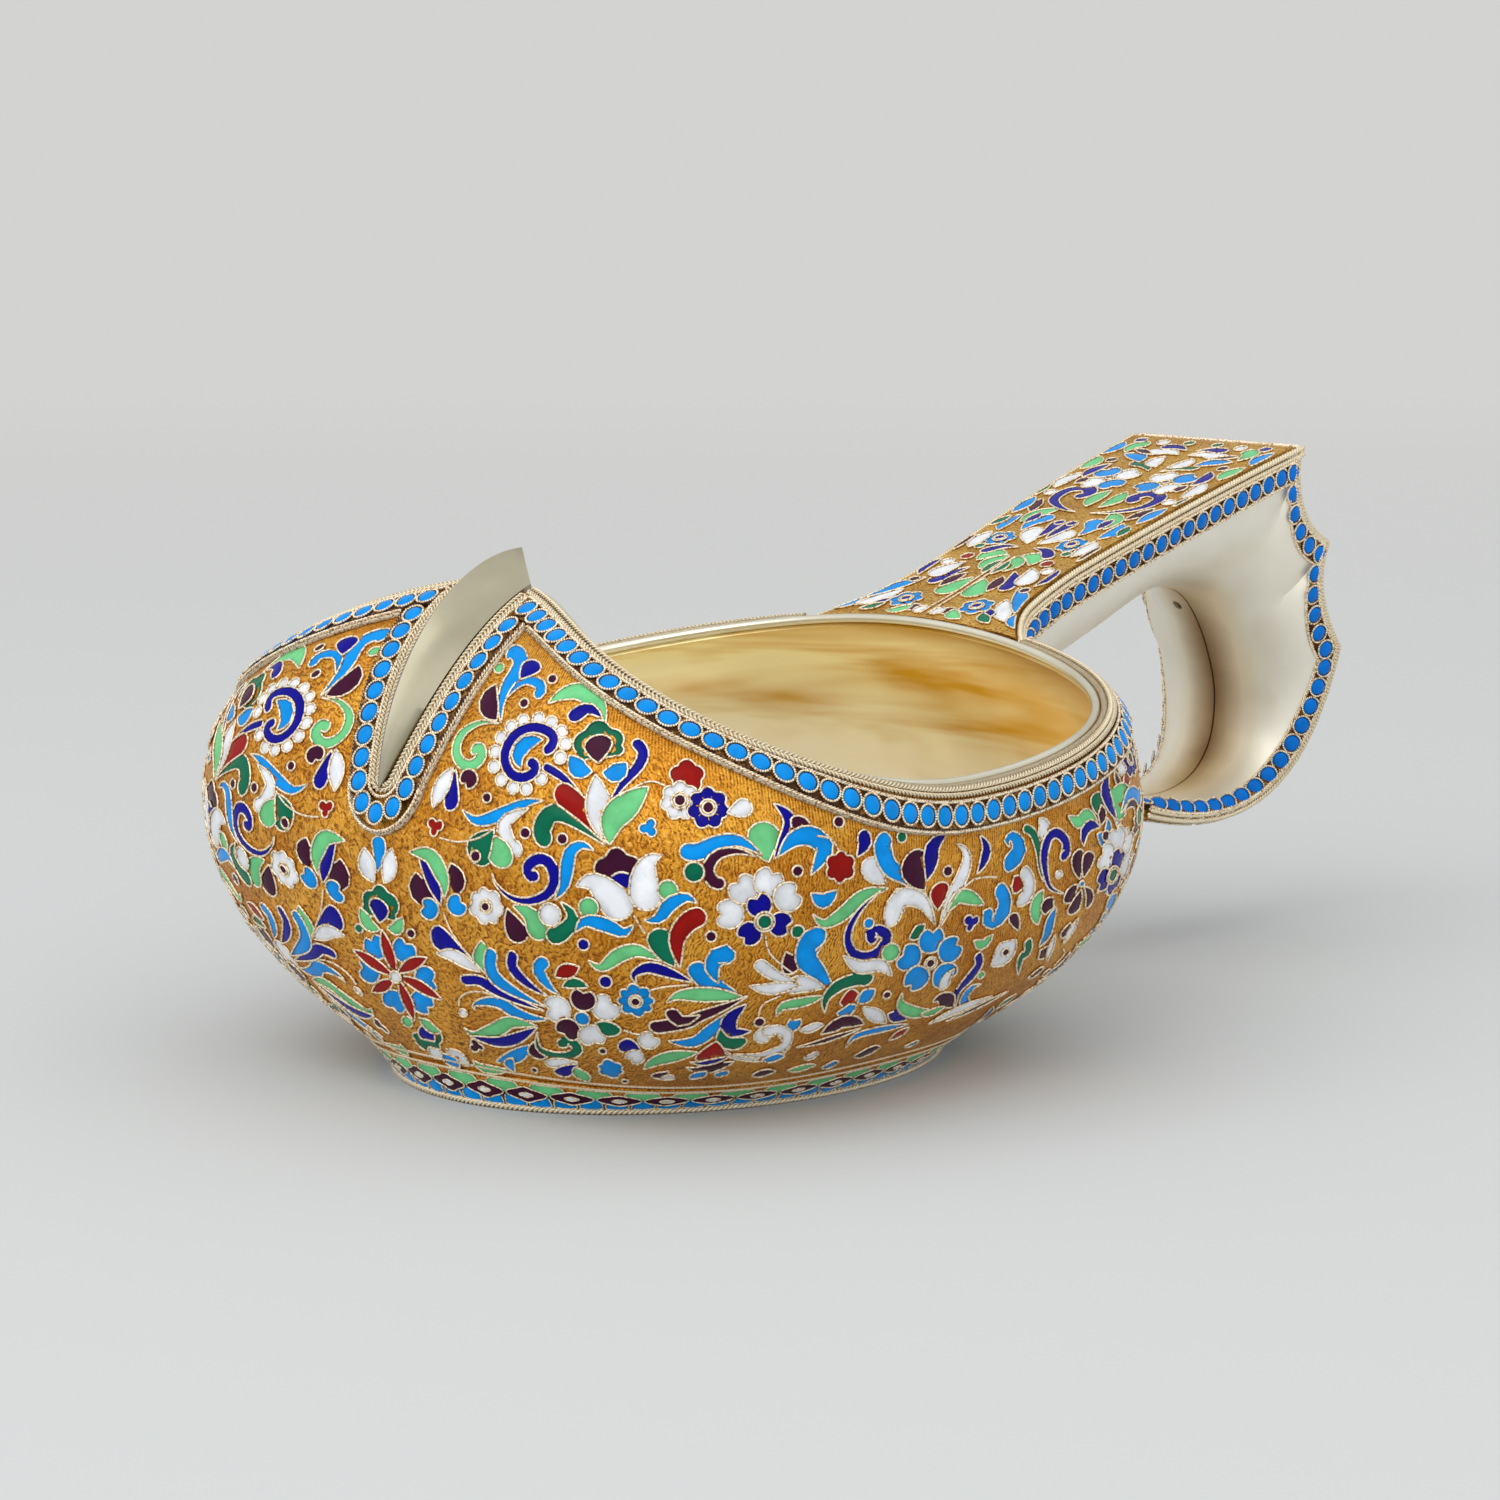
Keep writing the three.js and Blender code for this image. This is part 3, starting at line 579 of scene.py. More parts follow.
def carrier(points, outs, loops=None):
    """A mesh of points and edges that a tree reads, with its upward directions."""
    mesh = bpy.data.meshes.new("carrier")
    edges = []
    start = 0
    for count, closed in loops or ():
        edges += [(start + k, start + k + 1) for k in range(count - 1)]
        if closed:
            edges.append((start + count - 1, start))
        start += count
    mesh.from_pydata((np.asarray(points) * MM).tolist(), edges, [])
    layer = mesh.attributes.new("out", "FLOAT_VECTOR", "POINT")
    layer.data.foreach_set("vector", np.asarray(outs, float).ravel())
    return linked("carrier", mesh)


def grown(thing, tree, **values):
    """The plain mesh that a tree grows on a carrier, which is used up."""
    modifier = thing.modifiers.new("tree", "NODES")
    modifier.node_group = tree
    for item in tree.interface.items_tree:
        if item.item_type == "SOCKET" and item.in_out == "INPUT" and item.name in values:
            modifier[item.identifier] = values[item.name]
    thing.update_tag()
    bpy.context.view_layer.update()
    graph = bpy.context.evaluated_depsgraph_get()
    mesh = bpy.data.meshes.new_from_object(thing.evaluated_get(graph))
    bpy.data.objects.remove(thing)
    return mesh


def joined(name, meshes, nodes=(), colour_of=None):
    """One piece from several plain meshes of one material."""
    made = bmesh.new()
    for mesh in meshes:
        made.from_mesh(mesh)
    result = poured(made, bpy.data.meshes.new(name))
    for mesh in meshes:
        for one in mesh.materials:
            if one and one.name not in result.materials:
                result.materials.append(one)
        bpy.data.meshes.remove(mesh)
    result.shade_smooth()
    if colour_of is not None:
        layer = result.attributes.new("glaze", "FLOAT_COLOR", "POINT")
        layer.data.foreach_set("color", np.tile((*colour_of, 1), len(result.vertices)))
    return declare(linked(name, result), nodes)


def twisted(paths, strand, lay, pitch, pairs=((0.0, 1),), metal=WIRE):
    """Meshes of twisted wire along paths of (points, outs, closed): strand is a strand's radius, lay how
    far it winds off the middle, pitch the length of a turn. Each pair is (shift, hand)."""
    meshes = []
    for points, outs, closed in paths:
        line = np.vstack([points, points[:1]]) if closed else np.asarray(points)
        length = steps_of(line).sum()
        fitted = length / max(round(length / pitch), 1)
        for shift, hand in pairs:
            for phase in (0, math.pi):
                base = carrier(points, outs, [(len(points), closed)])
                meshes.append(grown(base, STRAND, **{
                    "Strand Radius": strand * MM, "Lay Radius": lay * MM, "Pitch": fitted * MM,
                    "Phase": phase, "Shift": shift * MM, "Hand": float(hand), "Material": metal,
                }))
    return meshes


# ---------------------------------------------------------------- the bowl
BOWL_TURNS, BOWL_ROWS, INSIDE_ROWS, FLOOR_ROWS = 288, 61, 48, 12
FLOOR_RISE = 0.3
HATCH_ROW = 45


def bowl():
    around = np.linspace(0, TAU, BOWL_TURNS + 1)[:-1]
    outside = skin(around[None, :], np.linspace(0, 1, BOWL_ROWS)[:, None])
    inner_t = np.linspace(1, 0, INSIDE_ROWS + 1)[:-1]
    inside = on_skin(around[None, :], inner_t[:, None], np.full((INSIDE_ROWS, BOWL_TURNS), -WALL))
    floor = BOWL_BOTTOM + WALL
    inside[..., 2] = np.maximum(inside[..., 2], floor + FLOOR_RISE * inner_t[:, None])
    x, y = egg(around, **BASE)
    middle = np.array([BASE["mid"], 0, floor])
    rim = np.stack([x, y, np.full_like(x, floor)], -1)
    shrink = np.linspace(1, 0.02, FLOOR_ROWS)[:, None, None]
    bottom = middle + (rim[None] - middle) * shrink
    rings = np.concatenate([outside, inside, bottom])
    points, faces = closed_loft(rings)
    walls = (len(rings) - 1) * BOWL_TURNS
    which = np.zeros(len(faces), int)
    which[(BOWL_ROWS - 1) * BOWL_TURNS:walls] = 1
    which[walls:] = [0, 1]
    step = np.linalg.norm(np.diff(outside, axis=0), axis=2)
    below = np.vstack([np.cumsum(step[::-1], 0)[::-1], np.zeros((1, BOWL_TURNS))])
    hatch = np.zeros((len(points), 4))
    hatch[:BOWL_ROWS * BOWL_TURNS, 0] = np.tile(run_of(outside[HATCH_ROW]), BOWL_ROWS)
    hatch[:BOWL_ROWS * BOWL_TURNS, 1] = below.ravel()
    face_outwards(
        piece("bowl", points, faces, [BOWL_GILT, GOLD], ["bowl_shell"], which=which, glaze=hatch)
    )


bowl()
SHEET_ROWS, SHEET_COLUMNS = 101, BOWL_TURNS + 1
sheet_points = skin(
    np.linspace(0, TAU, SHEET_COLUMNS)[None, :], np.linspace(0, 1, SHEET_ROWS)[:, None]
).reshape(-1, 3)
sheet_faces = grid_faces(SHEET_ROWS, SHEET_COLUMNS)[:, ::-1]


# ---------------------------------------------------------------- lines on the bowl
SIDES = ((-1, "near"), (1, "far"))
HANDLE_CLEAR = 19.1
KEEL_CLEAR = KEEL_HALF + VEE_ROPE
ROPE_WIDTH, ROPE_LIFT, INNER_LIFT, BORDER_LIFT, BED_LIFT = 1.5, 0.95, 1.0, 0.68, 0.2
LIP_BED_LINE, LIP_BED_LIFT = 0.2, 0.3


def mouth_side(side, line, start_y, out, end_y=HANDLE_CLEAR):
    """A path on one side, a length 'line' below the mouth and 'out' off the skin, from start_y beside
    the keel to end_y beside the handle."""
    start = angle_beside_keel(1.0, side * start_y)
    end = angle_beside_stern(1.0, side * end_y)
    angle = np.linspace(float(start), float(end), 160)
    t = share_at(angle, line)
    return on_skin(angle, t, np.full(len(t), out)), skin_normal(angle, t), False


def keel_half(t):
    """Half the keel plate's width, from its full width at the mouth to its narrow foot."""
    rest = 1 - np.clip((t - KEEL_FOOT_SHARE) / (1 - KEEL_FOOT_SHARE), 0, 1)
    return KEEL_END + (KEEL_HALF - KEEL_END) * (1 - rest ** 2.2)


def vee_foot(line):
    """The share of the skin's height at which a V turns round under the keel plate's foot."""
    return KEEL_FOOT_SHARE - line * VEE_DROP / (PROW_HEIGHT - BELLY_FRONT_HEIGHT)


def vee_path(line, out, end_line):
    """A V round the keel plate, from the near mouth round its foot to the far mouth."""
    top_angle = angle_beside_keel(1.0, KEEL_HALF + line)
    top = float(share_at(top_angle, end_line)[0])
    foot = vee_foot(line)
    t = foot + (top - foot) * (1 - np.cos(np.linspace(0, math.pi / 2, 60)))
    rest = np.clip((KEEL_FOOT_SHARE - t) / (KEEL_FOOT_SHARE - foot), 0, 1)
    y = (keel_half(t) + line) * np.sqrt(1 - rest ** 2)
    near = angle_beside_keel(t, -y)
    angle = np.r_[near[::-1], -near[1:]]
    t = np.r_[t[::-1], t[1:]]
    return on_skin(angle, t, np.full(len(t), out)), skin_normal(angle, t), False


def rope(name, paths, nodes, bed=()):
    """A braid: two cords of opposite hand side by side, with a dark core under them as painted shade between
    their strands. A bed is a plain strand under it."""
    cords = ((-ROPE_WIDTH / 4, 1), (ROPE_WIDTH / 4, -1))
    meshes = twisted(paths, 0.13, 0.24, 1.15, cords, metal=BRAID)
    # Painted shade: a dark strand under each cord, seen between its strands.
    meshes += twisted(paths, 0.22, 0.0, 1.5, cords, metal=RECESS)
    if bed:
        meshes += twisted(bed, 0.45, 0.0, 0.95, metal=BRAID)
    joined(name, meshes, nodes)


def border(name, wires, beds):
    """A fine twisted wire on a gilt bed."""
    meshes = twisted(wires, 0.13, 0.12, 0.95) + twisted(beds, 0.42, 0.0, 0.95, metal=GILT)
    joined(f"{name}_border", meshes, [f"{name}_border_wire_near", f"{name}_border_wire_far"])


def fine_wire(name, paths, nodes, strand, lay, pitch):
    joined(name, twisted(paths, strand, lay, pitch), nodes)


def mouth_border(inset, lift):
    return [mouth_side(side, BORDER_LINE - inset, KEEL_HALF + VEE_BORDER - inset, lift) for side, _ in SIDES]


for side, word in SIDES:
    path = mouth_side(side, ROPE_LINE, KEEL_CLEAR, ROPE_LIFT)
    under_lip = mouth_side(side, LIP_BED_LINE, KEEL_CLEAR, LIP_BED_LIFT)
    rope(f"mouth_rope_{word}", [path], [f"mouth_rope_wire_{word}"], bed=[under_lip])
rope("prow_rope", [vee_path(VEE_ROPE, ROPE_LIFT, BAND_LINE)], ["prow_rope_wire_near", "prow_rope_wire_far"])
border("mouth", mouth_border(0.5, BORDER_LIFT), mouth_border(0.4, BED_LIFT))
border(
    "prow",
    [vee_path(VEE_BORDER - 0.54, BORDER_LIFT, BORDER_LINE - 0.54)],
    [vee_path(VEE_BORDER - 0.42, BED_LIFT, BORDER_LINE - 0.4)],
)
inner_lines = [mouth_side(side, BAND_LINE, KEEL_HALF + VEE_BAND, INNER_LIFT) for side, _ in SIDES]
inner_lines.append(vee_path(VEE_BAND - 0.1, INNER_LIFT, BAND_LINE + 0.1))
fine_wire("band_inner_wire", inner_lines, (), 0.13, 0.12, 0.8)


# ---------------------------------------------------------------- rows of discs
def disc_shape(radius, height):
    """A low dome with a closed underside."""
    rings, sides = 4, 24
    turn = np.arange(sides) * TAU / sides
    rows = [[0, 0, height]]
    for k in range(1, rings + 1):
        share = k / rings
        rise = height * (1 - share ** 2.4) if k < rings else -0.15
        wide = radius * share
        rows += np.stack([np.cos(turn) * wide, np.sin(turn) * wide, turn * 0 + rise], 1).tolist()
    faces = [(0, 1 + j, 1 + (j + 1) % sides) for j in range(sides)]
    for k in range(rings - 1):
        a, b = 1 + k * sides, 1 + (k + 1) * sides
        faces += [(a + j, b + j, b + (j + 1) % sides, a + (j + 1) % sides) for j in range(sides)]
    last = 1 + (rings - 1) * sides
    faces.append(list(range(last + sides - 1, last - 1, -1)))
    mesh = bpy.data.meshes.new("disc")
    mesh.from_pydata((np.asarray(rows, float) * MM).tolist(), [], faces)
    return linked("disc", mesh)


def bead_ring_shape(radius, bead, count):
    """A ring of small beads, to go round a disc."""
    made = bmesh.new()
    for k in range(count):
        turn = TAU * k / count
        place = Matrix.Translation(Vector((math.cos(turn), math.sin(turn), 0)) * radius * MM)
        bmesh.ops.create_icosphere(made, subdivisions=1, radius=bead * MM, matrix=place)
    return linked("bead_ring", poured(made, bpy.data.meshes.new("bead_ring")))


DISC, DISC_RING = disc_shape(1.3, 0.3), bead_ring_shape(1.38, 0.18, 27)


def disc_row(name, points, outs, nodes=(), tone="0490ea"):
    """Enamel discs in beaded rings, one at each point."""
    outs = unit(outs)
    glass = grown(carrier(points, outs), ROW, Shape=DISC, Size=1.0, Material=ENAMEL)
    joined(f"{name}_enamel", [glass], nodes, colour_of=srgb(tone))
    rings = grown(carrier(points + outs * 0.06, outs), ROW, Shape=DISC_RING, Size=1.0, Material=WIRE)
    joined(f"{name}_rings", [rings])


def along(path):
    """Points and directions on an open path, evenly spaced, a disc's pitch apart or nearly so."""
    both = np.hstack(path[:2])
    run = run_of(both)
    count = max(int(round(run[-1] / DISC_PITCH)), 1)
    spaced = at_length(np.linspace(0, run[-1], count + 1), run, both)
    return spaced[:, :3], spaced[:, 3:]


CREST, CLEAR, DISC_LINE = GAP + BAND_THICKNESS + 0.1, 1.4, BAND_LINE + BAND_WIDTH / 2
mouth_discs = [
    along(mouth_side(side, DISC_LINE, KEEL_HALF + VEE_BAND + CLEAR, CREST, HANDLE_CLEAR + CLEAR))
    for side, _ in SIDES
]
disc_row("mouth_discs", *(np.vstack(both) for both in zip(*mouth_discs)))
prow_discs = along(vee_path(VEE_BAND + BAND_WIDTH / 2, CREST, BORDER_LINE + 1.2))
disc_row("prow_discs", *prow_discs, ["prow_bottom_bead"])
for node in ("mouth_disc_band_near", "mouth_disc_band_far", "prow_disc_band_near", "prow_disc_band_far"):
    repainted(node, RECESS)


# ---------------------------------------------------------------- keel plate and lip
KEEL_RIDGE = ((-57.6, 40.0), (-57.6, 51.51), (-47.39, 67.4), (-33.3, 67.4))
KEEL_THICK, KEEL_BOW, KEEL_FREE, TIP_THICK = 0.8, 0.35, 0.2, 1.6
LIP_RADIUS, LIP_INSET, LIP_CLEAR, LIP_SIDES = 0.6, 0.55, 1.1, 12


def keel_plate():
    """A folded crescent: its edges lie on the bowl, its ridge is a curve in the middle plane."""
    u = np.linspace(0, 1, 61)
    weights = [(1 - u) ** 3, 3 * u * (1 - u) ** 2, 3 * u ** 2 * (1 - u), u ** 3]
    ridge = sum(weight[:, None] * np.array(at) for weight, at in zip(weights, KEEL_RIDGE))
    top = np.stack([ridge[:, 0], u * 0, ridge[:, 1]], 1)
    t = KEEL_FOOT_SHARE + (1 - KEEL_FOOT_SHARE) * u
    near = angle_beside_keel(t, -keel_half(t))
    free = np.clip((u - 1 + KEEL_FREE) / KEEL_FREE, 0, 1)
    free = (free * free * (3 - 2 * free))[:, None]
    seat = on_skin(u * 0, t, np.full(len(u), GAP)) * (1 - free) + (top - [0, 0, TIP_THICK]) * free
    edge_out = on_skin(near, t, np.full(len(u), GAP + KEEL_THICK))
    edge_in = on_skin(near, t, np.full(len(u), GAP))
    out = skin_normal(near, t)
    bowed = [
        edge_out + (top - edge_out) * share + out * KEEL_BOW * math.sin(math.pi * share)
        for share in (0.25, 0.5, 0.75)
    ]
    near_side, far_side = [edge_out, *bowed], [*bowed[::-1], edge_out, edge_in]
    rows = [*near_side, top, *map(mirrored, far_side), seat, edge_in]
    points, faces = closed_loft(np.stack(rows, 1))
    face_outwards(piece("keel_plate", points, faces, [KEEL_SILVER_SHADED], ["prow_keel_plate"], smooth=32))


def lip():
    """A round wire along the rim, open at the keel plate."""
    start = float(angle_beside_keel(1.0, -(KEEL_HALF + LIP_CLEAR)))
    angle = np.linspace(start, TAU - start, 260)
    upward = unit(skin(angle, 1.0) - skin(angle, 0.99))
    line = on_skin(angle, 1.0, np.full(len(angle), -LIP_INSET)) + upward * LIP_INSET
    ahead = unit(np.gradient(line, axis=0))
    side = unit(np.cross(ahead, [0.0, 0.0, 1.0]))
    up = unit(np.cross(side, ahead))
    turn = (np.arange(LIP_SIDES) * TAU / LIP_SIDES)[None, :, None]
    rings = line[:, None] + LIP_RADIUS * (side[:, None] * np.cos(turn) + up[:, None] * np.sin(turn))
    points, faces = closed_loft(rings)
    face_outwards(piece("mouth_lip", points, faces, [SILVER], ["mouth_lip_wire"]))


keel_plate()
lip()


# ---------------------------------------------------------------- foot
FOOT_OUT, FOOT_LOW, FOOT_TOP, FOOT_TURNS, FOOT_ROWS = 1.9, 0.8, 5.0, 192, 6
FOOT_ROPE_HEIGHT, FOOT_WIRES = 0.42, ((5.3, 0.4), (6.5, 0.12))
around = np.linspace(0, TAU, FOOT_TURNS + 1)[:-1]
x, y = egg(around, **BASE)
away = unit(np.stack([x - BASE["mid"], y], 1))


def foot_line(out, height):
    """A closed path so far out from the bowl's base, level at a height."""
    line = np.stack([x + away[:, 0] * out, y + away[:, 1] * out, np.full_like(x, height)], 1)
    return line, np.hstack([away, np.zeros((len(x), 1))]), True


rope_line = [foot_line(FOOT_OUT, FOOT_ROPE_HEIGHT)]
# Painted shade: a dark strand under the braid, seen between its strands.
foot_rope = twisted(rope_line, 0.2, 0.2, 1.3, metal=BRAID) + twisted(rope_line, 0.2, 0.0, 1.3, metal=RECESS)
joined("foot_rope", foot_rope, ["foot_rope_wire"])


def foot_ring(length, out):
    """A closed path on the bowl, at a length up from its base."""
    t = share_at(around, length, from_mouth=False)
    return on_skin(around, t, np.full(len(around), out)), skin_normal(around, t), True


def foot_band():
    """The foot's sloping band. Gives its outer rows, from the bottom up."""
    low, top = foot_line(FOOT_OUT, FOOT_LOW)[0], foot_ring(FOOT_TOP, 0.4)[0]
    rows = [low + (top - low) * share for share in np.linspace(0, 1, FOOT_ROWS)]
    inner = [foot_ring(FOOT_TOP + 0.2, -0.15)[0], foot_ring(1.0, -0.2)[0], foot_line(0.2, FOOT_LOW)[0]]
    rings = np.stack(rows + inner)
    faces = grid_faces(len(rings), len(around), True, True).tolist()
    which = np.zeros(len(faces), int)
    which[4 * len(around):] = 1
    nodes = ["foot_disc_band", "foot_eye_band"]
    face_outwards(piece("foot_band", rings.reshape(-1, 3), faces, [RECESS, GILT], nodes, which=which))
    return np.stack(rows)


foot_rows = foot_band()
foot_wires = [foot_ring(length, out) for length, out in FOOT_WIRES]
joined("foot_wire", twisted(foot_wires, 0.1, 0.09, 0.9, metal=BRAID), ["foot_upper_wire"])


# ---------------------------------------------------------------- handle
REACH, TALL = 118.4, 71.5
ROOT_HALF, WAIST_HALF, END_HALF, TIP_HALF = 18.8, 12.6, 15.6, 9.5
WAIST_SHARE = 0.27
FLARE, FLARE_SHARE = 3.8, 0.11
ROOT_REACH, ROOT_DEPTH, ROOT_LEAN, ROOT_CURVE, ROOT_FALL = 7, 6, 1.2, 1.0, 1.35
PANEL, CHEEK_THICK, WIRE_R = 1.2, 0.7, 0.5
CHEEK_START, BAND_START, BAND_END, BAND_DISCS, BAND_WIRES = 3.8, 0.3, 3.5, 1.9, (0.25, 3.62)
TOP_ROWS, TO_RIDGE = 46, 1000
VENT_RADIUS, VENT_DEPTH = 0.8, 5.6
EDGE_TWIST = (0.24, 0.22, 1.1)
SEAT = PANEL + GAP
EDGE_CLEAR = WIRE_R * 2 + GAP


def hp(x_share, z_share):
    """A point of the handle's side view, as shares of the ware's reach and height."""
    return np.array([REACH * x_share, TALL * z_share])


ROOT = np.array([MOUTH["back"] + 1.6 + GAP * 2, STERN_HEIGHT + GAP])
CORNER, UPPER_CUSP, LOWER_CUSP, TIP = hp(0.912, 1), hp(0.972, 0.797), hp(1, 0.58), hp(0.685, 0.28)
TOP_LINE = [ROOT, hp(0.634, 0.884), CORNER]
UPPER_SCOOP = [CORNER, hp(0.892, 0.853), UPPER_CUSP]
LOWER_SCOOP = [UPPER_CUSP, hp(0.937, 0.706), LOWER_CUSP]
HOOK = [LOWER_CUSP, hp(0.992, 0.31), hp(0.895, 0.182), TIP]
RIDGE = np.array([hp(*p) for p in (
    (0.403, 0.528), (0.484, 0.57), (0.598, 0.638), (0.7, 0.704), (0.778, 0.717),
    (0.84, 0.694), (0.882, 0.62), (0.91, 0.517), (0.914, 0.441), (0.902, 0.371),
    (0.868, 0.318), (0.812, 0.294), (0.746, 0.3), (0.69, 0.324),
)])


def bezier(control, u):
    control = [np.asarray(c, float) for c in control]
    while len(control) > 1:
        control = [a + (b - a) * u for a, b in zip(control, control[1:])]
    return control[0]


def spline(points, u):
    """A curve through all points, at a share u of the way."""
    place = (len(points) - 1) * min(max(u, 0), 1)
    k = min(int(place), len(points) - 2)
    w = place - k
    p0, p1, p2, p3 = (points[min(max(k + d, 0), len(points) - 1)] for d in (-1, 0, 1, 2))
    v0, v1 = (p2 - p0) / 2, (p3 - p1) / 2
    return (2 * p1 - 2 * p2 + v0 + v1) * w ** 3 + (-3 * p1 + 3 * p2 - 2 * v0 - v1) * w ** 2 + v0 * w + p1


def top_half(u):
    """Half the top panel's width: flared at the root, narrowest at the waist, wider at the corner."""
    if u < WAIST_SHARE:
        flare = FLARE * max(1 - u / FLARE_SHARE, 0) ** 2
        return flare + WAIST_HALF + (ROOT_HALF - FLARE - WAIST_HALF) * (1 - u / WAIST_SHARE) ** 2
    return WAIST_HALF + (END_HALF - WAIST_HALF) * (u - WAIST_SHARE) / (1 - WAIST_SHARE)


def hook_half(u):
    """Half the hook's width, which narrows to the tip."""
    return TIP_HALF + (END_HALF - TIP_HALF) * (1 - u) ** 2


def station(curve, u, half, start, end, inward=None):
    """A section of the handle: its point on the outer curve, the way into the handle, its point on the
    cheeks' ridge, which runs from share start to share end, and half its width."""
    small = 1e-4
    at = bezier(curve, u)
    d = bezier(curve, min(u + small, 1)) - bezier(curve, max(u - small, 0))
    d = d / np.linalg.norm(d)
    normal = np.array([d[1], -d[0]]) if inward is None else np.array(inward, float)
    return at, normal, spline(RIDGE, start + (end - start) * u), half


def top_stations(first, last, count):
    return [station(TOP_LINE, u, top_half(u), 0, 0.4) for u in np.linspace(first, last, count)]


def back_stations(first):
    forward = (-1, 0)
    rows = [station(UPPER_SCOOP, u, END_HALF, 0.4, 0.46, forward) for u in np.linspace(first, 1, 9)]
    rows += [station(LOWER_SCOOP, u, END_HALF, 0.46, 0.54, forward) for u in np.linspace(0.12, 1, 9)]
    rows += [station(HOOK, u, hook_half(u), 0.54, 1) for u in np.linspace(0.05, 1, 40)]
    return rows


def length_of(curve):
    return steps_of(np.array([bezier(curve, u) for u in np.linspace(0, 1, 101)])).sum()


def seated(points):
    """Near its root the handle follows the rim, which curves away and falls to both sides."""
    x, y, z = np.moveaxis(np.asarray(points, float), -1, 0)
    near = np.clip(1 - (x - ROOT[0]) / ROOT_REACH, 0, 1) * np.clip(1 - (ROOT[1] - z) / ROOT_DEPTH, 0, 1)
    side = np.abs(y) / ROOT_HALF
    inward = near * (ROOT_LEAN + ROOT_CURVE * side ** 2.9)
    return np.stack([x - inward, y, z - near * ROOT_FALL * side ** 2], -1)


def place(s, depth, y):
    """A point of a station, so deep under the panel's face, seated on the rim."""
    p = s[0] + s[1] * depth
    return seated([p[0], y, p[1]])


BACK_START = (PANEL + GAP * 2) / length_of(UPPER_SCOOP)
TOP_END = 1 - EDGE_CLEAR / length_of(TOP_LINE)


def panel(name, rows, node):
    across = np.linspace(-1, 1, 13)
    rings = []
    for s in rows:
        y = s[3] - EDGE_CLEAR
        rings.append([place(s, 0, k * y) for k in across] + [place(s, PANEL, -k * y) for k in across])
    points, faces = closed_loft(np.array(rings))
    face_outwards(piece(name, points, faces, [PANEL_GILT], [node]))


panel("handle_top", top_stations(0, TOP_END, 50), "handle_top_panel")
panel("handle_back", back_stations(BACK_START), "handle_back_panel")


def section_arc(s):
    """The near cheek at a station, from the panel's edge in to the ridge: its line, the run along it
    and the way in."""
    p = s[0] + s[1] * SEAT
    start = np.array([p[0], 0, p[1]])
    reach = np.array([s[2][0], 0, s[2][1]]) - start
    turn = np.linspace(0, math.pi / 2, 60)
    line = start + reach * np.sin(turn)[:, None]
    line[:, 1] = -(s[3] - GAP) * np.cos(turn)
    line = seated(line)
    return line, run_of(line), reach / np.linalg.norm(reach)


def arc_point(s, length):
    """A point of the near cheek, at a length in from its edge, and its direction out of the sheet."""
    line, run, reach = section_arc(s)
    length = min(length, run[-1])
    k = min(max(np.searchsorted(run, length), 1), len(run) - 1)
    d = unit(line[k] - line[k - 1])
    out = -(reach * -d[1] + np.array([0, 1, 0]) * d.dot(reach))
    return at_length(length, run, line), unit(out)


def cheek_rows():
    inset = (SEAT + GAP) / length_of(TOP_LINE)
    back = (SEAT + GAP) / length_of(UPPER_SCOOP)
    return top_stations(0, 1 - inset, TOP_ROWS) + back_stations(back)


CHEEK_ROWS = cheek_rows()


def cheek_sheet(name, first, last, steps, side, material, node):
    """A strip of a cheek between two lengths in from its edge, as thick as the sheet."""
    rings = []
    for s in CHEEK_ROWS:
        end = min(last, section_arc(s)[1][-1] - GAP / 2)
        outer_row, inner_row = [], []
        for length in np.linspace(min(first, end - CHEEK_THICK), end, steps):
            point, out = arc_point(s, length)
            back = point - out * CHEEK_THICK
            point[1], back[1] = min(point[1], -GAP / 2), min(back[1], -GAP / 2)
            outer_row.append(point)
            inner_row.append(back)
        rings.append(outer_row + inner_row[::-1])
    rings = np.array(rings)
    if side > 0:
        rings = mirrored(rings)
    points, faces = closed_loft(rings)
    return face_outwards(piece(name, points, faces, [material], [node]))


def vent(sheet):
    """A small hole through the far cheek, high in the hook."""
    made = bmesh.new()
    way = Vector((-1, 0.35, -0.75)).normalized()
    turn = Vector((0, 0, 1)).rotation_difference(way).to_matrix().to_4x4()
    centre = Matrix.Translation(Vector((REACH * 0.866, WAIST_HALF * 0.2, TALL * 0.665)) * MM)
    bmesh.ops.create_cone(
        made, cap_ends=True, segments=24, radius1=VENT_RADIUS * MM, radius2=VENT_RADIUS * MM,
        depth=VENT_DEPTH * MM, matrix=centre @ turn,
    )
    drill = linked("drill", poured(made, bpy.data.meshes.new("drill")))
    cut = sheet.modifiers.new("vent", "BOOLEAN")
    cut.object = drill
    cut.operation = "DIFFERENCE"
    cut.solver = "EXACT"
    graph = bpy.context.evaluated_depsgraph_get()
    result = bpy.data.meshes.new_from_object(sheet.evaluated_get(graph))
    sheet.modifiers.remove(cut)
    sheet.data = result
    bpy.data.objects.remove(drill)


cheeks = [
    cheek_sheet(f"cheek_{word}", CHEEK_START, TO_RIDGE, 26, side, CHEEK, f"handle_cheek_{word}")
    for side, word in SIDES
]
vent(cheeks[1])
for side, word in SIDES:
    cheek_sheet(
        f"handle_band_{word}", BAND_START, BAND_END, 5, side, RECESS,
        f"handle_disc_band_{word}",
    )


def cheek_line(length, lift):
    """A line on the near cheek, at one length from its edge."""
    pairs = [arc_point(s, length) for s in CHEEK_ROWS]
    points, outs = (np.array([pair[k] for pair in pairs]) for k in (0, 1))
    return points + outs * lift, outs


def both_sides(points, outs):
    return [(points, outs, False), (mirrored(points), mirrored(outs), False)]


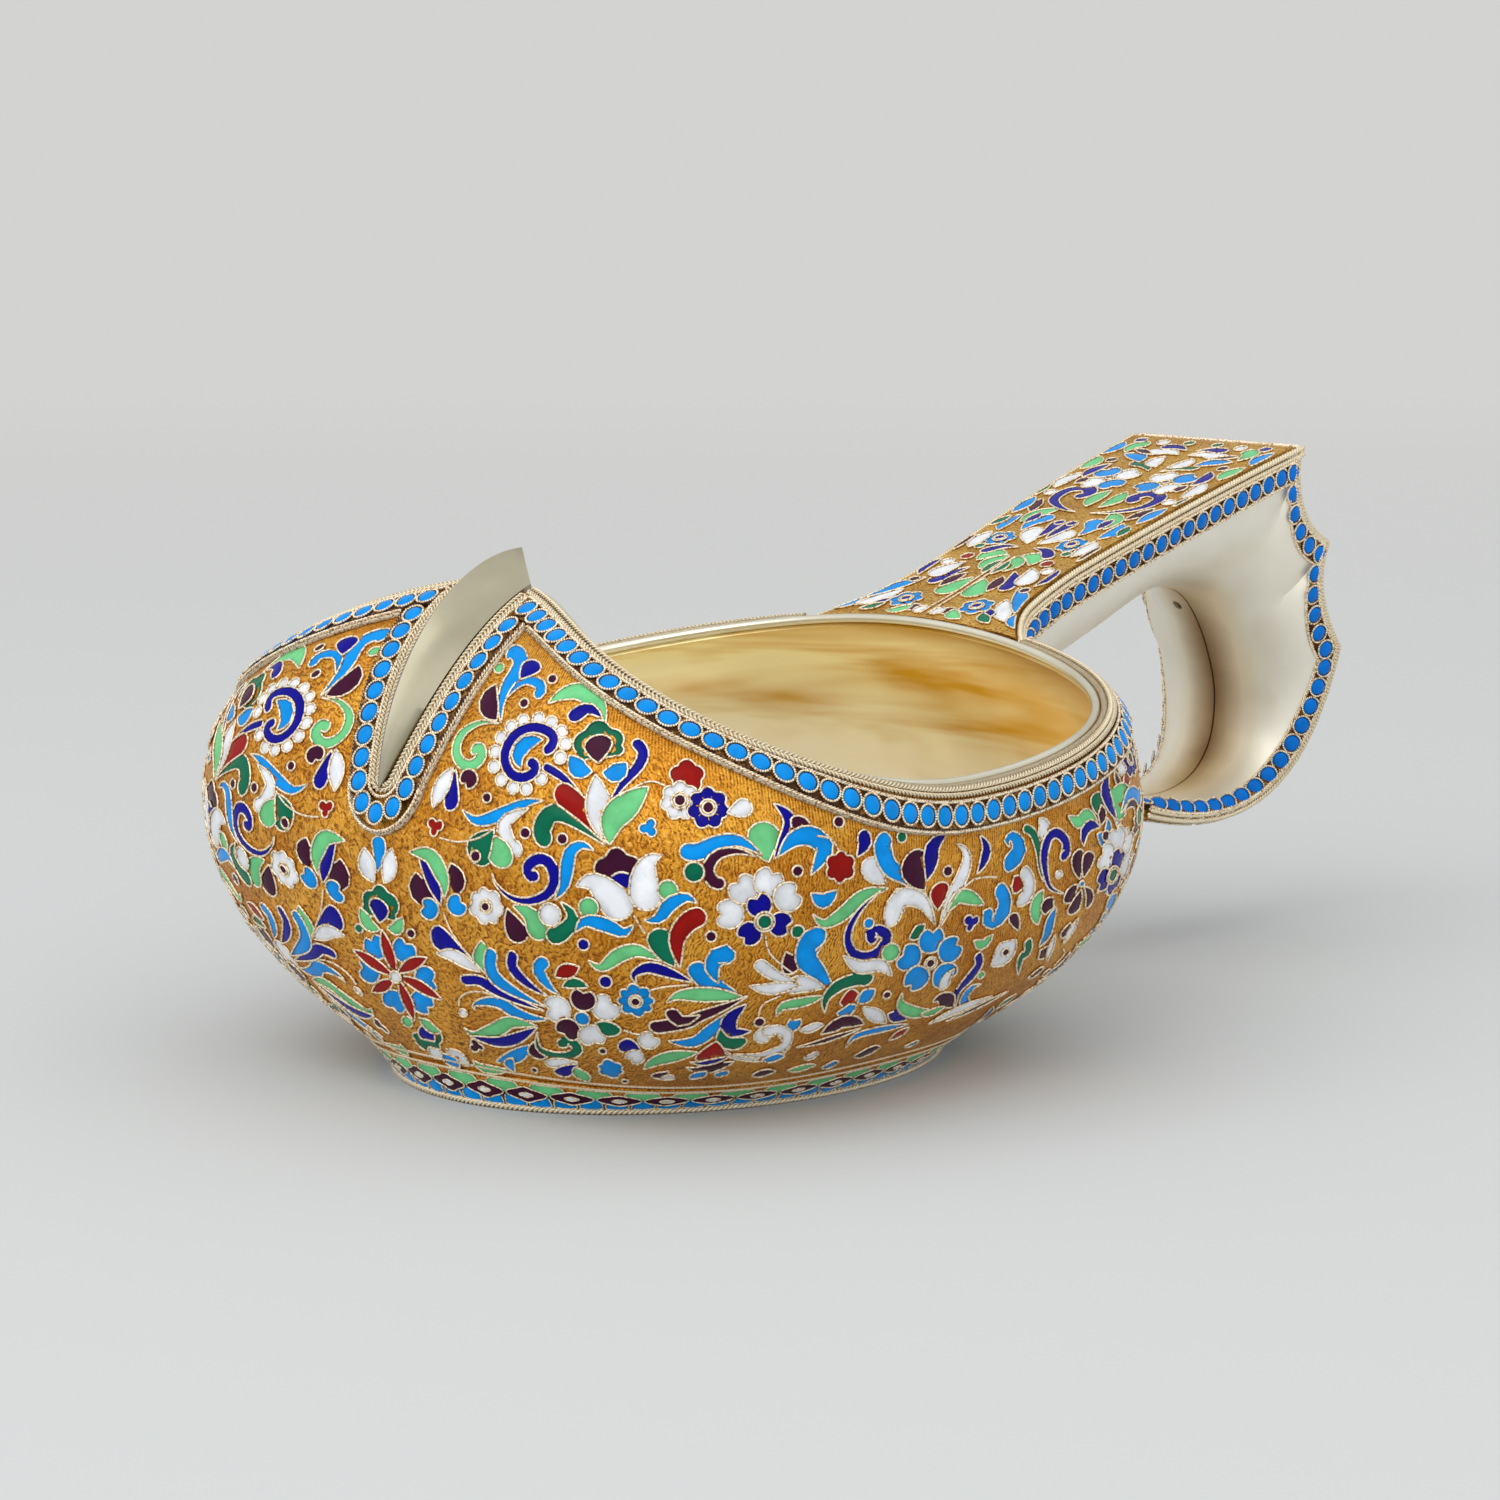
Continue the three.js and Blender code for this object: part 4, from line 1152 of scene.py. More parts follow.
band_points, band_outs = cheek_line(BAND_DISCS, 0.1)
top_row = along((band_points[:TOP_ROWS], band_outs[:TOP_ROWS]))
back_row = along((band_points[TOP_ROWS:], band_outs[TOP_ROWS:]))
discs, disc_outs = (np.vstack([top[:-1], back]) for top, back in zip(top_row, back_row))
discs, disc_outs = (np.vstack([near, mirrored(near)]) for near in (discs, disc_outs))
disc_row("handle_discs", discs, disc_outs, tone="0276dc")
lines = [line for length in BAND_WIRES for line in both_sides(*cheek_line(length, 0.12))]
fine_wire("handle_band_wires", lines, (), 0.14, 0.13, 0.9)
EDGE_ROWS = top_stations(0, 1, 60) + back_stations(BACK_START)


def edge_path(side, depth, inset, lean):
    """A line along one edge of the panels, so deep under their face and so far in from their side."""
    points = np.array([place(s, depth, side * (s[3] - inset)) for s in EDGE_ROWS])
    outs = np.array([unit([-s[1][0] * lean, side, -s[1][1] * lean]) for s in EDGE_ROWS])
    return points, outs, False


for side, word in SIDES:
    edge, seam = edge_path(side, WIRE_R, WIRE_R, 1.0), edge_path(side, WIRE_R * 2 + GAP, 0.35, 0.3)
    meshes = twisted([edge], *EDGE_TWIST, metal=BRAID) + twisted([seam], 0.2, 0.18, 1.0)
    joined(f"handle_edge_{word}", meshes, [f"handle_edge_wire_{word}"])


def cross_path(s, depth):
    """A line across the handle at a station."""
    y = np.linspace(-(s[3] - EDGE_CLEAR), s[3] - EDGE_CLEAR, 20)
    points = np.array([place(s, depth, k) for k in y])
    return points, np.tile([-s[1][0], 0, -s[1][1]], (len(y), 1)), False


corner = station(TOP_LINE, 1, END_HALF, 0, 1)
fine_wire("handle_corner", [cross_path(corner, WIRE_R)], ["handle_corner_wire"], *EDGE_TWIST)
tip = station(HOOK, 1, TIP_HALF, 0, 1)
ahead = unit(bezier(HOOK, 1) - bezier(HOOK, 0.999))
tip = (tip[0] + ahead * (WIRE_R + GAP), *tip[1:])
fine_wire("handle_tip", [cross_path(tip, PANEL / 2)], ["handle_tip_wire"], *EDGE_TWIST)


# ---------------------------------------------------------------- ornament
# Each line is one cell: its shape, its enamel, its greatest width, then points along it, read from
# the photograph in its 1500 px frame. A round shape gives its radius, its middle and where it points.
# A flower gives its radius, its number of lobes and its middle, and then the enamel and radius of the
# small disc on it, where it has one. A wire gives its points alone. A plus marks a cell that lies over
# others.
# Enamels: t turquoise, b cobalt, m mint, g dark green, v burgundy, r red, w white.
GLAZES = {k: srgb(c) for k, c in dict(
    t="0092ea", b="08048c", m="70cc88", g="026e50", v="400c2e", r="98100a", w="eceef4"
).items()}

UPPER_LEFT = """
drop t 12 502,723 502,706 507,688 516,674 521,661 516,653 507,655
drop t 8 507,699 519,685 530,681 540,685 541,692 535,697
drop b 15 521,680 529,671 538,662
leaf v 17 498,721 489,702 497,685
dot m 5 500,669
dot v 4.5 525,704
dot v 4.5 553,680
leaf m 14 606,723 597,703 580,692 563,695 549,704
drop b 10 603,719 591,710 580,713 570,721
dot w 5.8 539,719
dot w 5.8 524,721
dot w 5.8 512,727
dot w 5.8 502,738
dot w 5.8 496,752
dot w 5.8 495,767
dot w 5.8 502,780
dot w 5.8 514,788
dot w 5.8 527,789
dot w 5.8 542,779
dot w 5.8 561,758
dot w 5.8 566,744
dot w 5.8 562,732
dot w 5.8 552,723
band b 7.5 544,752 552,747 554,737 545,730 531,728 516,735 507,749 506,763 513,775 524,778 534,773 535,765 528,762
leaf t 12 544,740 527,744 519,756 522,769
tail b 6 544,766 561,776 575,789 586,800
drop m 8 500,724 482,723 464,733 457,749 461,762 471,766 481,759 481,749 472,751
heart v 8.5 471,778 465,786
drop b 12 457,770 453,790 453,811
leaf w 12 454,768 440,792 434,808
dot v 4.5 488,798
leaf t 10 463,810 478,821 503,814 527,803 544,801
drop w 12 530,808 507,821 506,836 513,848 523,849
drop g 25 495,830 483,846 474,862
dot+ v 5 477,856
drop m 20 495,836 501,852 502,868
dot v 5 526,833
dot v 5 563,839
drop g 14 606,845 586,828 566,815 552,814 544,825 544,836 552,842
drop r 17 607,843 587,815 566,796 555,792
leaf w 20 607,842 599,806 596,775
drop b 8 608,807 622,786 639,766 643,752 634,741
leaf m 21 610,845 613,820 629,804 649,787
hood g 23 599,746 599,720
drop+ v 23 599,764 599,752 599,736
leaf t 14 570,756 580,770 593,772
leaf t 14 627,763 617,773 603,773
trefoil t 8 649,828 640,829
"""
SPRAY = """
flower r 16 5 687,777
flower+ w 17.5 7 680,801 v 6
flower b 19 7 708,808 v 6
tail w 14 750,803 741,809 727,813
wire 620,796 648,782 665,786
drop m 26 768,862 764,846 763,822
leaf b 10 773,804 786,815 789,829 773,859
drop v 19 794,838 799,829 804,818
leaf t 15 777,857 792,840 810,836 824,847 820,858 810,875
drop t 12.6 762,855 739,841 718,843 697,852 680,850
drop v 8.4 755,856 736,851 717,855 708,869 714,882 725,883
dot g 9 694,872
dot v 5 797,871
dot v 5 838,822
wire 816,836 830,839 838,850
flower r 14.7 6 840,867
tail b 11 859,832 864,842 856,857
leaf t 11 810,893 823,901 837,890
heart w 12.5 732,914 724,914
heart w 12.5 745,891 738,883
heart w 12.5 767,884 771,876
heart w 12.5 785,898 793,894
heart b 10.5 760,907 757,900
heart b 10.5 778,923 787,926
heart b 10.5 751,932 743,938
dot+ w 9 764,921
dot+ g 6.5 764,921
dot g 6 797,931
"""
UNDER_VEE = """
leaf v 18 417,872 421,890 435,904
leaf v 15 452,863 457,880 456,895
leaf b 10 420,856 433,879 442,905
leaf m 12 410,852 431,856 444,879 445,898
heart t 9.5 432,909 422,905
heart t 9.5 456,906 465,899
wire 444,912 455,936 486,973
drop b 18 470,956 452,946 432,931
leaf w 10 437,953 456,956 482,971
drop m 19.6 482,940 484,952 486,970
flower w 17.5 7 487,906 v 5
drop v 17 508,908 513,922 523,942
drop m 15 513,905 532,916 541,940
drop g 13 561,901 572,913 571,924 558,935 547,934
dot+ w 10.5 551,914
drop b 8.4 493,873 497,884 511,897 529,901 548,894 555,879 550,863 539,859 529,866 532,876 539,873
trefoil r 8 436,827 431,820
wire 441,838 459,842 480,838 496,828
drop b 8 545,1010 501,992 480,980 462,980
drop t 10 546,1006 501,982 491,964 494,949
drop b 8 549,996 527,982 513,966 515,951
drop t 10 560,994 548,984 539,968 548,959
leaf t 9 476,1009 475,1004 487,1001 502,1003 515,1011 534,1017 550,1018
wire 460,1005 461,997 471,991 487,992 499,998
dot w 4 464,1012
leaf m 12 465,1027 476,1034 496,1029 512,1021 538,1025
leaf b 10 471,1035 496,1041 515,1038 538,1026
trefoil v 7 477,1045 487,1049
leaf t 12 530,1044 515,1056 497,1061
leaf t 8 513,1057 510,1064 515,1071
leaf m 8 474,1059 483,1067 500,1069 508,1068
drop v 14 534,1041 536,1048 539,1058
drop g 8 538,1031 539,1046 553,1054 570,1054 578,1048 572,1041 563,1042 567,1046
tail w 9 548,1064 560,1061 578,1061
tail b 12 559,1074 568,1068 578,1063
leaf m 12 575,1066 582,1074 588,1081
dot v 3 535,1069
"""
MIDDLE = """
leaf t 10 595,851 583,845 571,852 567,872 564,887 555,900
hood v 21 618,872 616,850
drop+ b 22 633,907 625,892 620,872
drop w 24 576,886 593,882 613,899 626,918
drop w 24 662,855 649,862 644,883 649,910
dot m 9 589,907
dot m 9 668,890
leaf t 10.5 576,932 586,921 607,925 624,932 634,924
leaf t 10.5 644,920 659,918 670,904 686,897 697,903
wire 634,915 647,936 663,962
dot b 5.5 584,944
dot b 6 606,981
drop g 21 675,966 666,952 657,928
drop r 15 680,967 677,939 689,921 706,914
dot v 5 711,936
leaf m 11 589,960 602,967 619,955 638,950 661,960
leaf b 8.4 637,983 634,974 648,967 666,971 693,981
wire 648,990 666,986 689,984
drop t 15 736,991 708,981 693,962
drop t 15 718,982 712,966 722,953 730,962
leaf m 11 667,1001 682,994 714,994 745,997
drop v 10 747,995 700,1015 687,1021 650,1027
drop v 10 700,1014 680,1020 670,1008
leaf t 11 738,1005 714,1027 694,1041 668,1040
leaf b 12 746,1003 730,1017 731,1031 751,1030
drop g 13 720,1027 724,1040 745,1043
drop w 8 720,1043 731,1055 761,1057 783,1048 785,1034 771,1029 759,1035 767,1040
flower t 16.8 8 636,1000 v 5
leaf r 12 556,976 568,970 580,966
leaf g 8 563,986 576,982 589,986
heart w 12.5 560,1008 549,1008
heart w 12.5 604,1009 613,1002
heart v 11 583,1001 584,990
heart v 11 570,1027 562,1036
heart w 11.5 592,1033 596,1044
dot+ t 7 583,1017
drop g 15 596,1022 606,1026 617,1034
drop b 13 641,1049 632,1046 619,1042
heart w 9 648,1041 655,1035
heart w 8 636,1055 628,1060
flower t 12 6 611,1068
dot v 3.6 603,1050
dot v 3 625,1080
leaf m 11 698,1051 674,1055 655,1061 644,1068
drop r 24 716,1040 713,1049 708,1062
leaf v 7 686,1066 704,1068 734,1060
leaf b 4 690,1061 705,1062 730,1055
leaf t 9 690,1078 706,1070
leaf t 9 715,1072 728,1073
drop v 10 668,1070 655,1077
tail w 9 663,1075 674,1078
wire 624,1029 636,1033 647,1033
"""
RIGHT_SIDE = """
drop v 15 785,951 788,960 793,972
wire 765,935 771,955 799,977
drop t 18 832,987 818,972 806,958 812,940 825,938
drop w 15 824,987 805,984 786,984
drop w 9 800,984 775,975 756,961
leaf w 9 800,984 770,988 749,985
leaf m 8 776,1015 783,1005 804,1001 824,995
wire 758,1015 763,1003 780,995
dot v 5 759,1021
drop g 11 824,1012 825,998 839,984 860,978 870,981
leaf r 14 839,1002 848,998 858,993
leaf t 10 857,1002 866,995 874,988
leaf t 9 836,1012 846,1010 856,1004
leaf w 11 862,1006 874,1014 885,1022
leaf b 14 887,1013 896,1014 905,1019
leaf m 11 901,992 900,1004 916,1012 940,1010
dot v 4 886,994
leaf m 10.5 887,888 863,895 841,914 823,923 812,914
drop b 8.4 880,890 859,910 847,933 851,951 865,956 880,949 886,935 877,930 870,935 875,941
dot t 5 868,923
dot m 9 890,952
leaf w 11 842,955 859,966 880,965 891,975
drop w 17 885,883 872,871 871,857
drop t 14 928,900 908,879 889,867 882,847 889,836
drop v 25 924,890 916,874 909,852
leaf b 12 945,834 932,847 929,867 925,881
drop r 16 937,910 938,898 939,882
leaf b 7 979,835 985,846 984,858 976,874
leaf w 9 956,844 963,849 966,860 961,877 950,898 938,928
leaf m 11 983,904 968,897 957,897 945,912
drop v 7 886,902 892,899 900,890
drop w 15 934,924 922,902 903,897 893,911 894,924
leaf g 9 908,938 916,932 924,924
wire 935,931 952,900 970,881 983,877 996,877
dot g 5 901,837
dot v 5 947,871
heart t 12.4 931,942 932,931
heart t 12.4 947,950 957,943
heart t 12.4 910,958 899,953
heart t 12.4 942,973 951,982
heart t 12.4 917,976 908,986
dot+ w 6.5 929,962
dot+ v 4.5 929,962
drop t 14 1009,847 1006,840 1011,836 1017,843 1016,855 1003,867
band t 12 996,886 1003,897 1002,911 993,921 987,917 992,912
leaf r 11 1013,876 1016,884 1012,893
band w 10 1021,869 1028,880 1026,895 1016,902
drop g 6 1042,881 1039,868 1037,847 1031,832 1022,828
leaf w 11 1038,818 1043,828 1043,842
drop b 7.5 1062,893 1049,887 1044,871 1043,853 1048,837 1056,833 1064,841 1064,854 1059,855
dot w 4 1058,874
drop v 12 1079,879 1077,866 1076,850
drop v 10 1082,878 1086,864 1089,851
drop v 11 1077,884 1071,892 1067,903
drop v 9 1083,886 1088,894 1088,906
drop v 10 1080,889 1076,900 1070,914
dot+ t 3 1080,883
leaf m 11 1067,816 1077,822 1086,815 1096,821
leaf b 9 1083,846 1083,833 1090,825 1099,827
drop g 13 1098,816 1097,806 1096,792
leaf v 7 1100,805 1101,815 1099,825
dot v 3 1106,793
leaf t 8 1096,834 1101,839 1102,847
leaf t 5 1106,818 1107,828 1105,838
leaf v 6 1113,771 1116,780 1121,789
leaf r 6 1123,770 1125,778 1126,788
leaf w 9 1115,797 1117,812 1116,827
leaf v 7 1106,845 1110,858 1109,876
leaf g 6 1118,833 1115,850 1110,866
leaf t 7 1096,893 1103,880 1107,895
leaf m 12 1042,889 1035,905 1037,924
leaf v 11 1052,897 1047,905 1044,914
leaf t 9 1055,906 1049,920 1046,934 1038,946
trefoil b 8 970,922 977,917
leaf m 8 973,940 982,944 992,934
tail v 9 1008,921 1013,918 1018,930
leaf w 17 990,965 1004,952 1015,939
dot+ v 4 1004,951
drop g 7 1017,974 1019,960 1027,949 1026,939
drop b 7 954,1006 957,991 971,974 978,962 976,953
dot m 4 980,974
drop w 9 953,968 945,978 943,988
leaf v 14 932,1001 942,996 952,1006
leaf t 8 980,983 970,988 963,998 967,1004 978,1001
leaf m 8 920,1013 932,1011 944,1006
leaf v 8 1037,958 1043,952 1049,944
leaf w 6 1054,934 1050,946 1046,960
leaf v 7 1060,938 1065,930 1069,922
leaf w 5 1062,943 1070,930 1077,917
leaf v 6 1027,977 1035,972 1043,966
"""
LOWEST_ROW = """
drop t 11 800,1018 794,1023 786,1026
drop w 8 733,1053 762,1054 783,1046 787,1034 776,1029 764,1034
leaf w 8 799,1029 811,1027 823,1024
leaf v 12 820,1033 843,1021 863,1023
leaf v 4 796,1046 818,1041 860,1027
leaf t 7 845,1046 860,1033 907,1023
leaf t 8 762,1058 772,1057 784,1055
leaf v 7 751,1074 762,1072 775,1070
leaf w 8 804,1056 811,1055 818,1053
leaf m 8 787,1069 801,1067 815,1064
leaf t 7 821,1066 829,1064 838,1061
leaf v 11 853,1055 866,1051 880,1046
leaf r 5 888,1039 898,1033 908,1026
leaf t 6 904,1045 911,1043 918,1040
leaf w 8 927,1023 952,1011 977,1001 991,995
leaf v 4 945,1020 980,1004 1007,990
leaf t 8 975,1022 985,1015 992,1006
leaf g 6 995,1008 1006,1000 1015,993
"""
MIDDLE_LINE = """
tail t 11 379,836 380,852 378,872
leaf w 14 365,847 368,866 375,882
leaf w 14 393,848 390,867 385,883
hood g 19.6 381,906 380,884
drop+ b 18 381,922 381,912 380,898
leaf m 10 361,907 369,923 381,929
leaf m 10 404,917 398,928 388,928
heart t 11.8 377,949 373,941
heart t 11.8 404,952 407,943
heart t 11.8 425,979 434,980
heart t 11.8 421,1000 428,1006
heart t 11.8 396,999 394,1008
heart t 11.8 372,970 364,967
leaf r 9.5 397,974 389,950 383,929
leaf r 9.5 399,972 414,963 428,957
leaf r 9.5 400,976 423,987 443,999
leaf r 9.5 400,979 408,1000 415,1020
leaf r 9.5 395,979 383,986 373,991
leaf r 9.5 394,974 372,961 354,949
dot+ w 6 397,976
dot g 4.5 360,928
dot v 4.5 412,933
hood g 16 428,1036 436,1044
drop+ b 14 436,1040 430,1034 421,1026
dot m 6 408,1021
leaf m 8 420,1017 432,1027 442,1031
leaf w 10 430,1046 436,1052 443,1058
leaf w 10 447,1048 458,1056 470,1065
leaf t 9 443,1052 452,1060 461,1067
"""


def pixel_ray(x, y):
    return unit(-BACK + RIGHT * (x - FRAME_PX / 2) / FOCAL_PX + UP * (FRAME_PX / 2 - y) / FOCAL_PX)


def dot(size):
    return lambda a: size + a * 0


def heart(size):
    def reach(a):
        turned = np.abs((a + math.pi) % TAU - math.pi)
        return size * (1.06 + 0.22 * np.cos(turned) - 0.5 * np.exp(-((turned / 0.3) ** 2)))
    return reach


def hood(size):
    """Scalloped in front, cut off straight behind."""
    def reach(a):
        turned = np.abs((a + math.pi) % TAU - math.pi)
        lobes = size * (0.82 + 0.22 * np.abs(np.cos(turned * 2.5)))
        return np.where(turned < 1.75, lobes, size * 0.5 / np.maximum(np.abs(np.cos(turned)), 0.5))
    return reach


def trefoil(size):
    return lambda a: size * (0.55 + 0.55 * np.abs(np.cos(a * 1.5)))


def flower(size, lobes):
    return lambda a: size * (0.8 + 0.2 * np.abs(np.cos(a * lobes / 2)))


def oval(long, high):
    return lambda a: 1 / np.sqrt((np.cos(a) / long) ** 2 + (np.sin(a) / high) ** 2)


def scallop(long, high):
    """Half an oval, standing on its flat side."""
    return lambda a: np.where(np.sin(a) > 0, oval(long, high)(a), oval(long, high * 0.25)(a))


# Round shapes, with the number of points on their rims.
ROUND = {"dot": (dot, 16), "heart": (heart, 32), "hood": (hood, 44), "trefoil": (trefoil, 32)}
# Long shapes, with the shares of their length over which they swell from the start and from the end.
# 0 is a blunt, rounded end.
LONG = {"leaf": (0.5, 0.5), "drop": (0.8, 0), "tail": (0, 0.8), "band": (0, 0)}


def smooth_line(points, count):
    """Points along a curve through all the given points, closer together at its ends."""
    points = np.asarray(points, float)
    if len(points) == 2:
        points = np.stack([points[0], points.mean(0), points[1]])
    run = (1 - np.cos(np.linspace(0, math.pi, count))) / 2
    return np.array([spline(points, u) for u in run])


class Cells:
    """Enamel cells and the wires round them, laid on one surface."""

    # How high a wire's middle stands, the enamel at its wire, and the enamel's dome over that. Then how
    # far a cell marked with a plus is raised, and the small step between one cell and the next.
    WIRE_LIFT, RIM, DOME = 0.13, 0.02, 0.1
    OVERLAY, STEP = 0.12, 0.006

    def __init__(self, faces, points, px_per_mm=PX_PER_MM, plump=1.12, view=BACK):
        self.tree = BVHTree.FromPolygons([Vector(p) for p in points], [list(map(int, f)) for f in faces])
        self.scale, self.plump = px_per_mm, plump
        self.view = np.array(view, float)
        self.sheets, self.wires, self.shapes = [], [], []
        self.count = 0
        self.move = lambda p: p
        self.keep = lambda p: True

    def at_pixel(self, x, y):
        hit = self.tree.ray_cast(Vector(EYE), Vector(pixel_ray(x, y)))
        return None if hit[0] is None else np.array(hit[0])

    def snap(self, p):
        spot, normal = self.tree.find_nearest(Vector(p))[:2]
        return np.array(spot), np.array(normal)

    def snapped(self, spots):
        """The nearest points of the surface and its directions there."""
        pairs = [self.snap(p) for p in spots]
        return (np.array([pair[k] for pair in pairs]) for k in (0, 1))

    def add_sheet(self, rows, lifts, faces, tone, outs, rim):
        """One cell's enamel, a little darker along its rim. No two neighbours are quite alike."""
        middle = faces[len(faces) // 2]
        a, b, c = rows[middle[:3]]
        if np.dot(np.cross(b - a, c - a), outs[middle[0]]) < 0:
            faces = [f[::-1] for f in faces]
        vary = 0.92 + 0.16 * ((self.count * 0.618) % 1)
        edge = np.clip(0.72 + (lifts - lifts.min())[:, None] * 3.2, 0, 1)
        glaze = np.hstack([np.array(tone) * vary * edge, np.ones((len(rows), 1))])
        self.sheets.append([rows, outs, lifts, faces, glaze])
        self.shapes.append((len(self.sheets), rows[rim], outs[rim].mean(0)))

    def petal(self, spine, width, tone, kind, layer):
        """A long cell along a spine."""
        width = width * self.plump + 0.2
        count = int(min(max(steps_of(spine).sum() / 0.5, 11), 36))
        line = smooth_line(spine, count)
        run = run_of(line)
        length = run[-1]
        half = np.full(count, width / 2)
        blunt = min(width / 2, length * 0.45)
        for run_in, share in zip((run, length - run), LONG[kind]):
            if share:
                half *= np.sin(np.minimum(run_in / (length * share), 1) * math.pi / 2) ** 0.85
            else:
                half *= np.sqrt(1 - (1 - np.minimum(run_in / blunt, 1)) ** 2)
        tangent = unit(np.gradient(line, axis=0))
        across = (-1, -0.82, -0.4, 0.4, 0.82, 1)
        crown = np.minimum(half / 0.5, 1)
        spots, lifts = [], []
        for i in range(count):
            at, normal = self.snap(line[i])
            side = unit(np.cross(normal, tangent[i]))
            reach = half[i] / max(math.sqrt(max(1 - np.dot(side, self.view) ** 2, 0)), 0.4)
            spots += [at + side * reach * v for v in across]
            lifts += [layer + self.RIM + self.DOME * (1 - abs(v) ** 3) * crown[i] for v in across]
        rows, outs = self.snapped(spots)
        wide = len(across)
        left = [i * wide for i in range(count)]
        right = [i * wide + wide - 1 for i in range(count - 2, 0, -1)]
        self.add_sheet(rows, np.array(lifts), grid_faces(count, wide).tolist(), tone, outs, left + right)
        self.outline(rows[left + right], outs[left + right], layer)

    def outline(self, points, outs, layer, closed=True):
        self.wires.append((len(self.sheets), points + outs * (self.WIRE_LIFT + layer), outs, closed))

    def round_cell(self, middle, toward, reach, tone, layer, steps=32, flat=1.0):
        """A cell round a middle. reach gives its radius at each turn from where it points, and flat
        under 1 crowds the points of its rim towards its two ends."""
        at, normal = self.snap(middle)
        ahead = unit(toward - normal * np.dot(toward, normal))
        side = np.cross(normal, ahead)
        turn = np.arange(steps) * TAU / steps
        turn = np.arctan2(np.sin(turn) * flat, np.cos(turn)) % TAU
        radius = reach(turn)
        spokes = [ahead * math.cos(a) + side * math.sin(a) for a in turn]
        seen = [max(1 - np.dot(spoke, self.view) ** 2, 0.3) ** -0.4 for spoke in spokes]
        shares = (0.45, 0.85, 1)
        spots = [
            at + spoke * wide * r * share for share in shares for spoke, wide, r in zip(spokes, seen, radius)
        ]
        rows, outs = self.snapped(spots)
        rows, outs = np.vstack([at, rows]), np.vstack([normal, outs])
        lifts = layer + self.RIM + self.DOME * (1 - np.array([0, *np.repeat(shares, steps)]) ** 4)
        faces = [[0, 1 + k, 1 + (k + 1) % steps] for k in range(steps)]
        faces += grid_faces(len(shares), steps, loop_columns=True, start=1).tolist()
        self.add_sheet(rows, lifts, faces, tone, outs, list(range(len(rows) - steps, len(rows))))
        self.outline(rows[-steps:], outs[-steps:], layer)

    def draw(self, text, locate=None):
        """The cells of a text. One whose points miss the surface or aren't kept is left out."""
        locate = locate or self.at_pixel
        for line in text.split("\n"):
            kind, *words = line.split() or [""]
            if not words:
                continue
            self.count += 1
            layer = (self.OVERLAY if kind.endswith("+") else 0) + self.STEP * (self.count % 8)
            spots = [locate(*map(float, w.split(","))) for w in words if "," in w]
            if any(s is None for s in spots):
                continue
            spots = [self.move(s) for s in spots]
            if not all(self.keep(s) for s in spots):
                continue
            self.cell(kind.rstrip("+"), words, spots, layer)

    def cell(self, kind, words, spots, layer):
        if kind == "wire":
            self.outline(*self.snapped(smooth_line(spots, 14)), 0, closed=False)
            return
        tone = GLAZES[words[0]]
        size = float(words[1]) / self.scale
        if kind in LONG:
            self.petal(np.array(spots), size, tone, kind, layer)
            return
        toward = spots[1] - spots[0] if len(spots) > 1 else UP
        if kind in ROUND:
            shape, steps = ROUND[kind]
            self.round_cell(spots[0], toward, shape(size), tone, layer, steps)
            return
        self.round_cell(spots[0], toward, flower(size, int(words[2])), tone, layer, steps=48)
        if len(words) > 4:
            small = float(words[5]) / self.scale
            self.round_cell(spots[0], toward, dot(small + 0.16), GLAZES["w"], layer + 0.08, steps=16)
            self.round_cell(spots[0], toward, dot(small * 0.85), GLAZES[words[4]], layer + 0.14, steps=16)

    def covered(self, points, order):
        """Which points lie under a cell that was laid later than their own."""
        hidden = np.zeros(len(points), bool)
        for rank, rim, normal in self.shapes:
            middle = rim.mean(0)
            reach = np.linalg.norm(rim - middle, axis=1).max()
            near = np.flatnonzero((np.abs(points - middle).max(1) < reach) & (order < rank))
            if not len(near):
                continue
            first = unit(np.cross(normal, [0.3, 0.5, 0.8]))
            second = np.cross(unit(normal), first)
            px, py = (points[near] - middle) @ first, (points[near] - middle) @ second
            rx, ry = (rim - middle) @ first, (rim - middle) @ second
            inside = np.zeros(len(near), bool)
            for k in range(len(rim)):
                x0, y0, x1, y1 = rx[k - 1], ry[k - 1], rx[k], ry[k]
                if y0 != y1:
                    inside ^= ((y0 > py) != (y1 > py)) & (px < x0 + (py - y0) * (x1 - x0) / (y1 - y0))
            hidden[near[inside]] = True
        return hidden

    def open_runs(self):
        """The wires, cut off where a later cell lies over them."""
        order = np.concatenate([np.full(len(p), rank) for rank, p, _, _ in self.wires])
        hidden = self.covered(np.vstack([p for _, p, _, _ in self.wires]), order)
        start, runs = 0, []
        for _, points, outs, closed in self.wires:
            gone = hidden[start:start + len(points)]
            start += len(points)
            if not gone.any():
                runs.append((points, outs, closed))
                continue
            turn = np.arange(len(points))
            if closed:
                turn = np.roll(turn, -int(np.argmax(gone)))
            run = []
            for k in [*turn, None]:
                if k is not None and not gone[k]:
                    run.append(k)
                    continue
                if len(run) > 2:
                    runs.append((points[run], outs[run], False))
                run = []
        return runs

